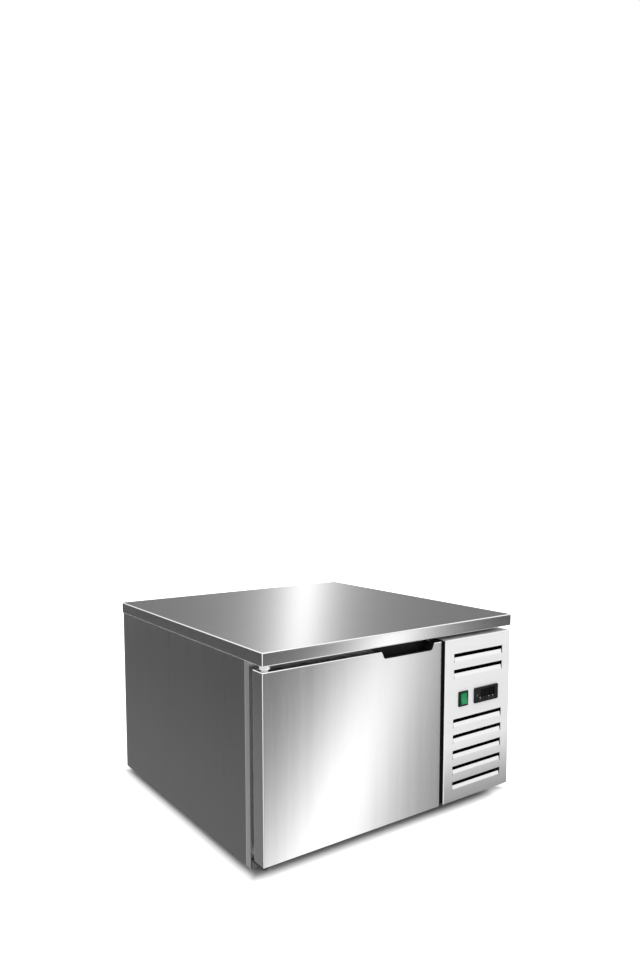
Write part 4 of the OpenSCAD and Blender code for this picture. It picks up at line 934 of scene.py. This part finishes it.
# %% [markdown]
# ## World and floor
# An even white surrounding lights the cabinet softly, at a level at which a colour renders
# about as it is written. The floor is pale, and a glow that the camera sees makes it as white
# as the background. The glow fades near the base, where a painted shadow darkens the floor's
# colour too, so that the contact shadow stays. Brighter lamps would whiten the floor as well,
# but would wash out the steel.

# %% World and floor
FLOOR_HALF_W = 30
FLOOR_GLOW = 0.9
SEEN_IN_METAL = 0.1
SHADOW_GREY, FLOOR_GREY = grey(0.16), grey(0.93)
BLACK, WHITE = grey(0), grey(1)

world = bpy.data.worlds.new("studio")
world.use_nodes = True
scene.world = world
background = world.node_tree.nodes["Background"]
background.inputs["Color"].default_value = (*WHITE, 1)
background.inputs["Strength"].default_value = 1.0

pale = Finish("pale floor", Roughness=0.9, Specular_IOR_Level=0.0, Emission_Strength=FLOOR_GLOW)
x, y, _ = pale.split()
low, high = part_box("base_pan")
# The painted shadow and the fade of the glow reach 30 mm further out on the right, as if lit
# from the left.
away = 0 - x.depth(low.x + 8 * MM, high.x + 30 * MM).least(y.depth(low.y - 3 * MM, high.y))
camera_ray, glossy_ray, transmission_ray = (
    pale.node("ShaderNodeLightPath", output=name)
    for name in ("Is Camera Ray", "Is Glossy Ray", "Is Transmission Ray"))
shown = ((camera_ray + (glossy_ray + transmission_ray) * SEEN_IN_METAL)
         * pale.ranged(away, -5 * MM, 45 * MM))
# Painted shadow: the floor's colour turns dark grey round the base.
pale.set(
    Base_Color=pale.mixed(pale.ranged(away, -30 * MM, 20 * MM), SHADOW_GREY, FLOOR_GREY),
    Emission_Color=pale.mixed(shown, BLACK, WHITE),
)
shape = bmesh.new()
bmesh.ops.create_grid(shape, x_segments=1, y_segments=1, size=FLOOR_HALF_W)
linked("floor", shape, pale.material)
print("floor:", 2 * FLOOR_HALF_W, "m wide")

# %% [markdown]
# ## Reflection cards
# Polished steel shows what stands round it, and a white room alone would leave it flat. A
# studio puts up cards beside the object, some dark and some with a lit stripe. Here they are
# planes that only reflections see: they throw no light on anything and cast no shadow. Each
# has a closed formula for its glow, which is easier to tune than a painted picture.


# %% Card helpers
class Card(Finish):
    """A glowing card that only reflections see."""

    def __init__(self, name, strength):
        super().__init__(name, Base_Color=(*BLACK, 1), Roughness=1.0, Specular_IOR_Level=0.0,
                         Emission_Strength=strength)

    def band(self, distance, width, rest):
        """A soft band: 1 in its middle, and rest far away, as light falls off beside a tube."""
        return rest + (1 - rest) / (distance * distance / (width * width) + 1)

    def glow(self, level):
        self.set(Emission_Color=self.mixed(level, BLACK, WHITE))

    def put_up(self, name, corner, across, up):
        """Makes the plane that starts at a corner and has two sides, given as vectors."""
        across, up = Vector(across), Vector(up)
        sides = Matrix((across, up, across.cross(up).normalized())).transposed().to_4x4()
        shape = bmesh.new()
        bmesh.ops.create_grid(shape, x_segments=1, y_segments=1, size=0.5, matrix=(
            Matrix.Translation(corner) @ sides @ Matrix.Translation((0.5, 0.5, 0))))
        obj = linked(name, shape, self.material)
        obj.visible_camera = obj.visible_diffuse = obj.visible_shadow = False
        obj.visible_transmission = False
        print(name, round(across.length, 2), "x", round(up.length, 2), "m")


# %% [markdown]
# The card in front lies on the floor. Its bright stripe runs diagonally away from the foot of
# the door, so the door shows it as a slanting highlight. The stripe widens with distance.

# %% Front card
STRIPE_AT = Vector((-0.19, -0.354))
STRIPE_W, STRIPE_REST = 0.125, 0.02
DIAGONAL = 0.707

front = Card("front card", 1.9)
x, y, _ = front.split()
from_stripe = (x - STRIPE_AT.x) * DIAGONAL + (y - STRIPE_AT.y) * DIAGONAL
narrowed = front.ranged(0 - y, 0.4, 1.8, 1, 0.86)
front.glow(front.band(from_stripe * narrowed, STRIPE_W, STRIPE_REST))
front.put_up("front_card", (-0.9, -4.0, 2 * MM), (4.9, 0, 0), (0, 3.655, 0))

# %% [markdown]
# The card on the left darkens the cabinet's side, more so away from the object.

# %% Left card
left = Card("left card", 1.0)
x = left.split()[0]
left.glow(left.ranged(0 - x, 0.3, 1.4, 0.27, 0.115))
left.put_up("left_card", (-4.0, -0.9, 3 * MM), (3.668, 0, 0), (0, 5.9, 0))

# %% [markdown]
# The card behind stands upright, square to the camera's direction, and draws the highlight
# over the worktop. Towards its ends it turns as bright as the room, so that its own edge
# doesn't show from other sides.

# %% Back card
BACK_M, BACK_HALF_W, BACK_H = 4.0, 4.0, 1.4
BACK_STRENGTH = 1.3
LEAN_ROUND_Z, LEAN = 0.7, 0.1
BACK_STRIPE_AT, BACK_STRIPE_W, BACK_REST = -0.08, 0.165, 0.16

ahead = Vector((-towards_eye.x, -towards_eye.y, 0)).normalized()
rightwards = Vector((ahead.y, -ahead.x, 0))
centre = Vector((EYE.x, EYE.y, 0)) + ahead * BACK_M
back = Card("back card", BACK_STRENGTH)
x, y, z = back.split()
from_middle = ((x - centre.x) * rightwards.x + (y - centre.y) * rightwards.y
               + (z - LEAN_ROUND_Z) * LEAN)
end = back.ranged(from_middle.most(0 - from_middle), 0.9, 3.6, 0, 1 / BACK_STRENGTH)
back.glow(back.band(from_middle - BACK_STRIPE_AT, BACK_STRIPE_W, BACK_REST).most(end))
back.put_up("back_card", centre - rightwards * BACK_HALF_W, rightwards * 2 * BACK_HALF_W,
            (0, 0, BACK_H))

# %% [markdown]
# ## Lamp
# One large soft lamp, high in front, adds a little direction to the even light: it brightens
# the faces that look up and forward, and gives the handle and the louvres their shade.


# %% Lamp
def soft_lamp(name, place, target, size, watts):
    lamp = bpy.data.lights.new(name, "AREA")
    lamp.size, lamp.energy = size, watts
    obj = bpy.data.objects.new(name, lamp)
    scene.collection.objects.link(obj)
    obj.location = place
    obj.rotation_mode = "QUATERNION"
    obj.rotation_quaternion = (Vector(target) - Vector(place)).to_track_quat("-Z", "Y")
    print(name, "lamp:", watts, "W")


soft_lamp("key", place=(0.6, -2.2, 2.6), target=(0, 0, 0.2), size=1.6, watts=14)

# %% [markdown]
# ## Finish
# The view transform is set to Standard.

# %% View transform
scene.view_settings.view_transform = "Standard"
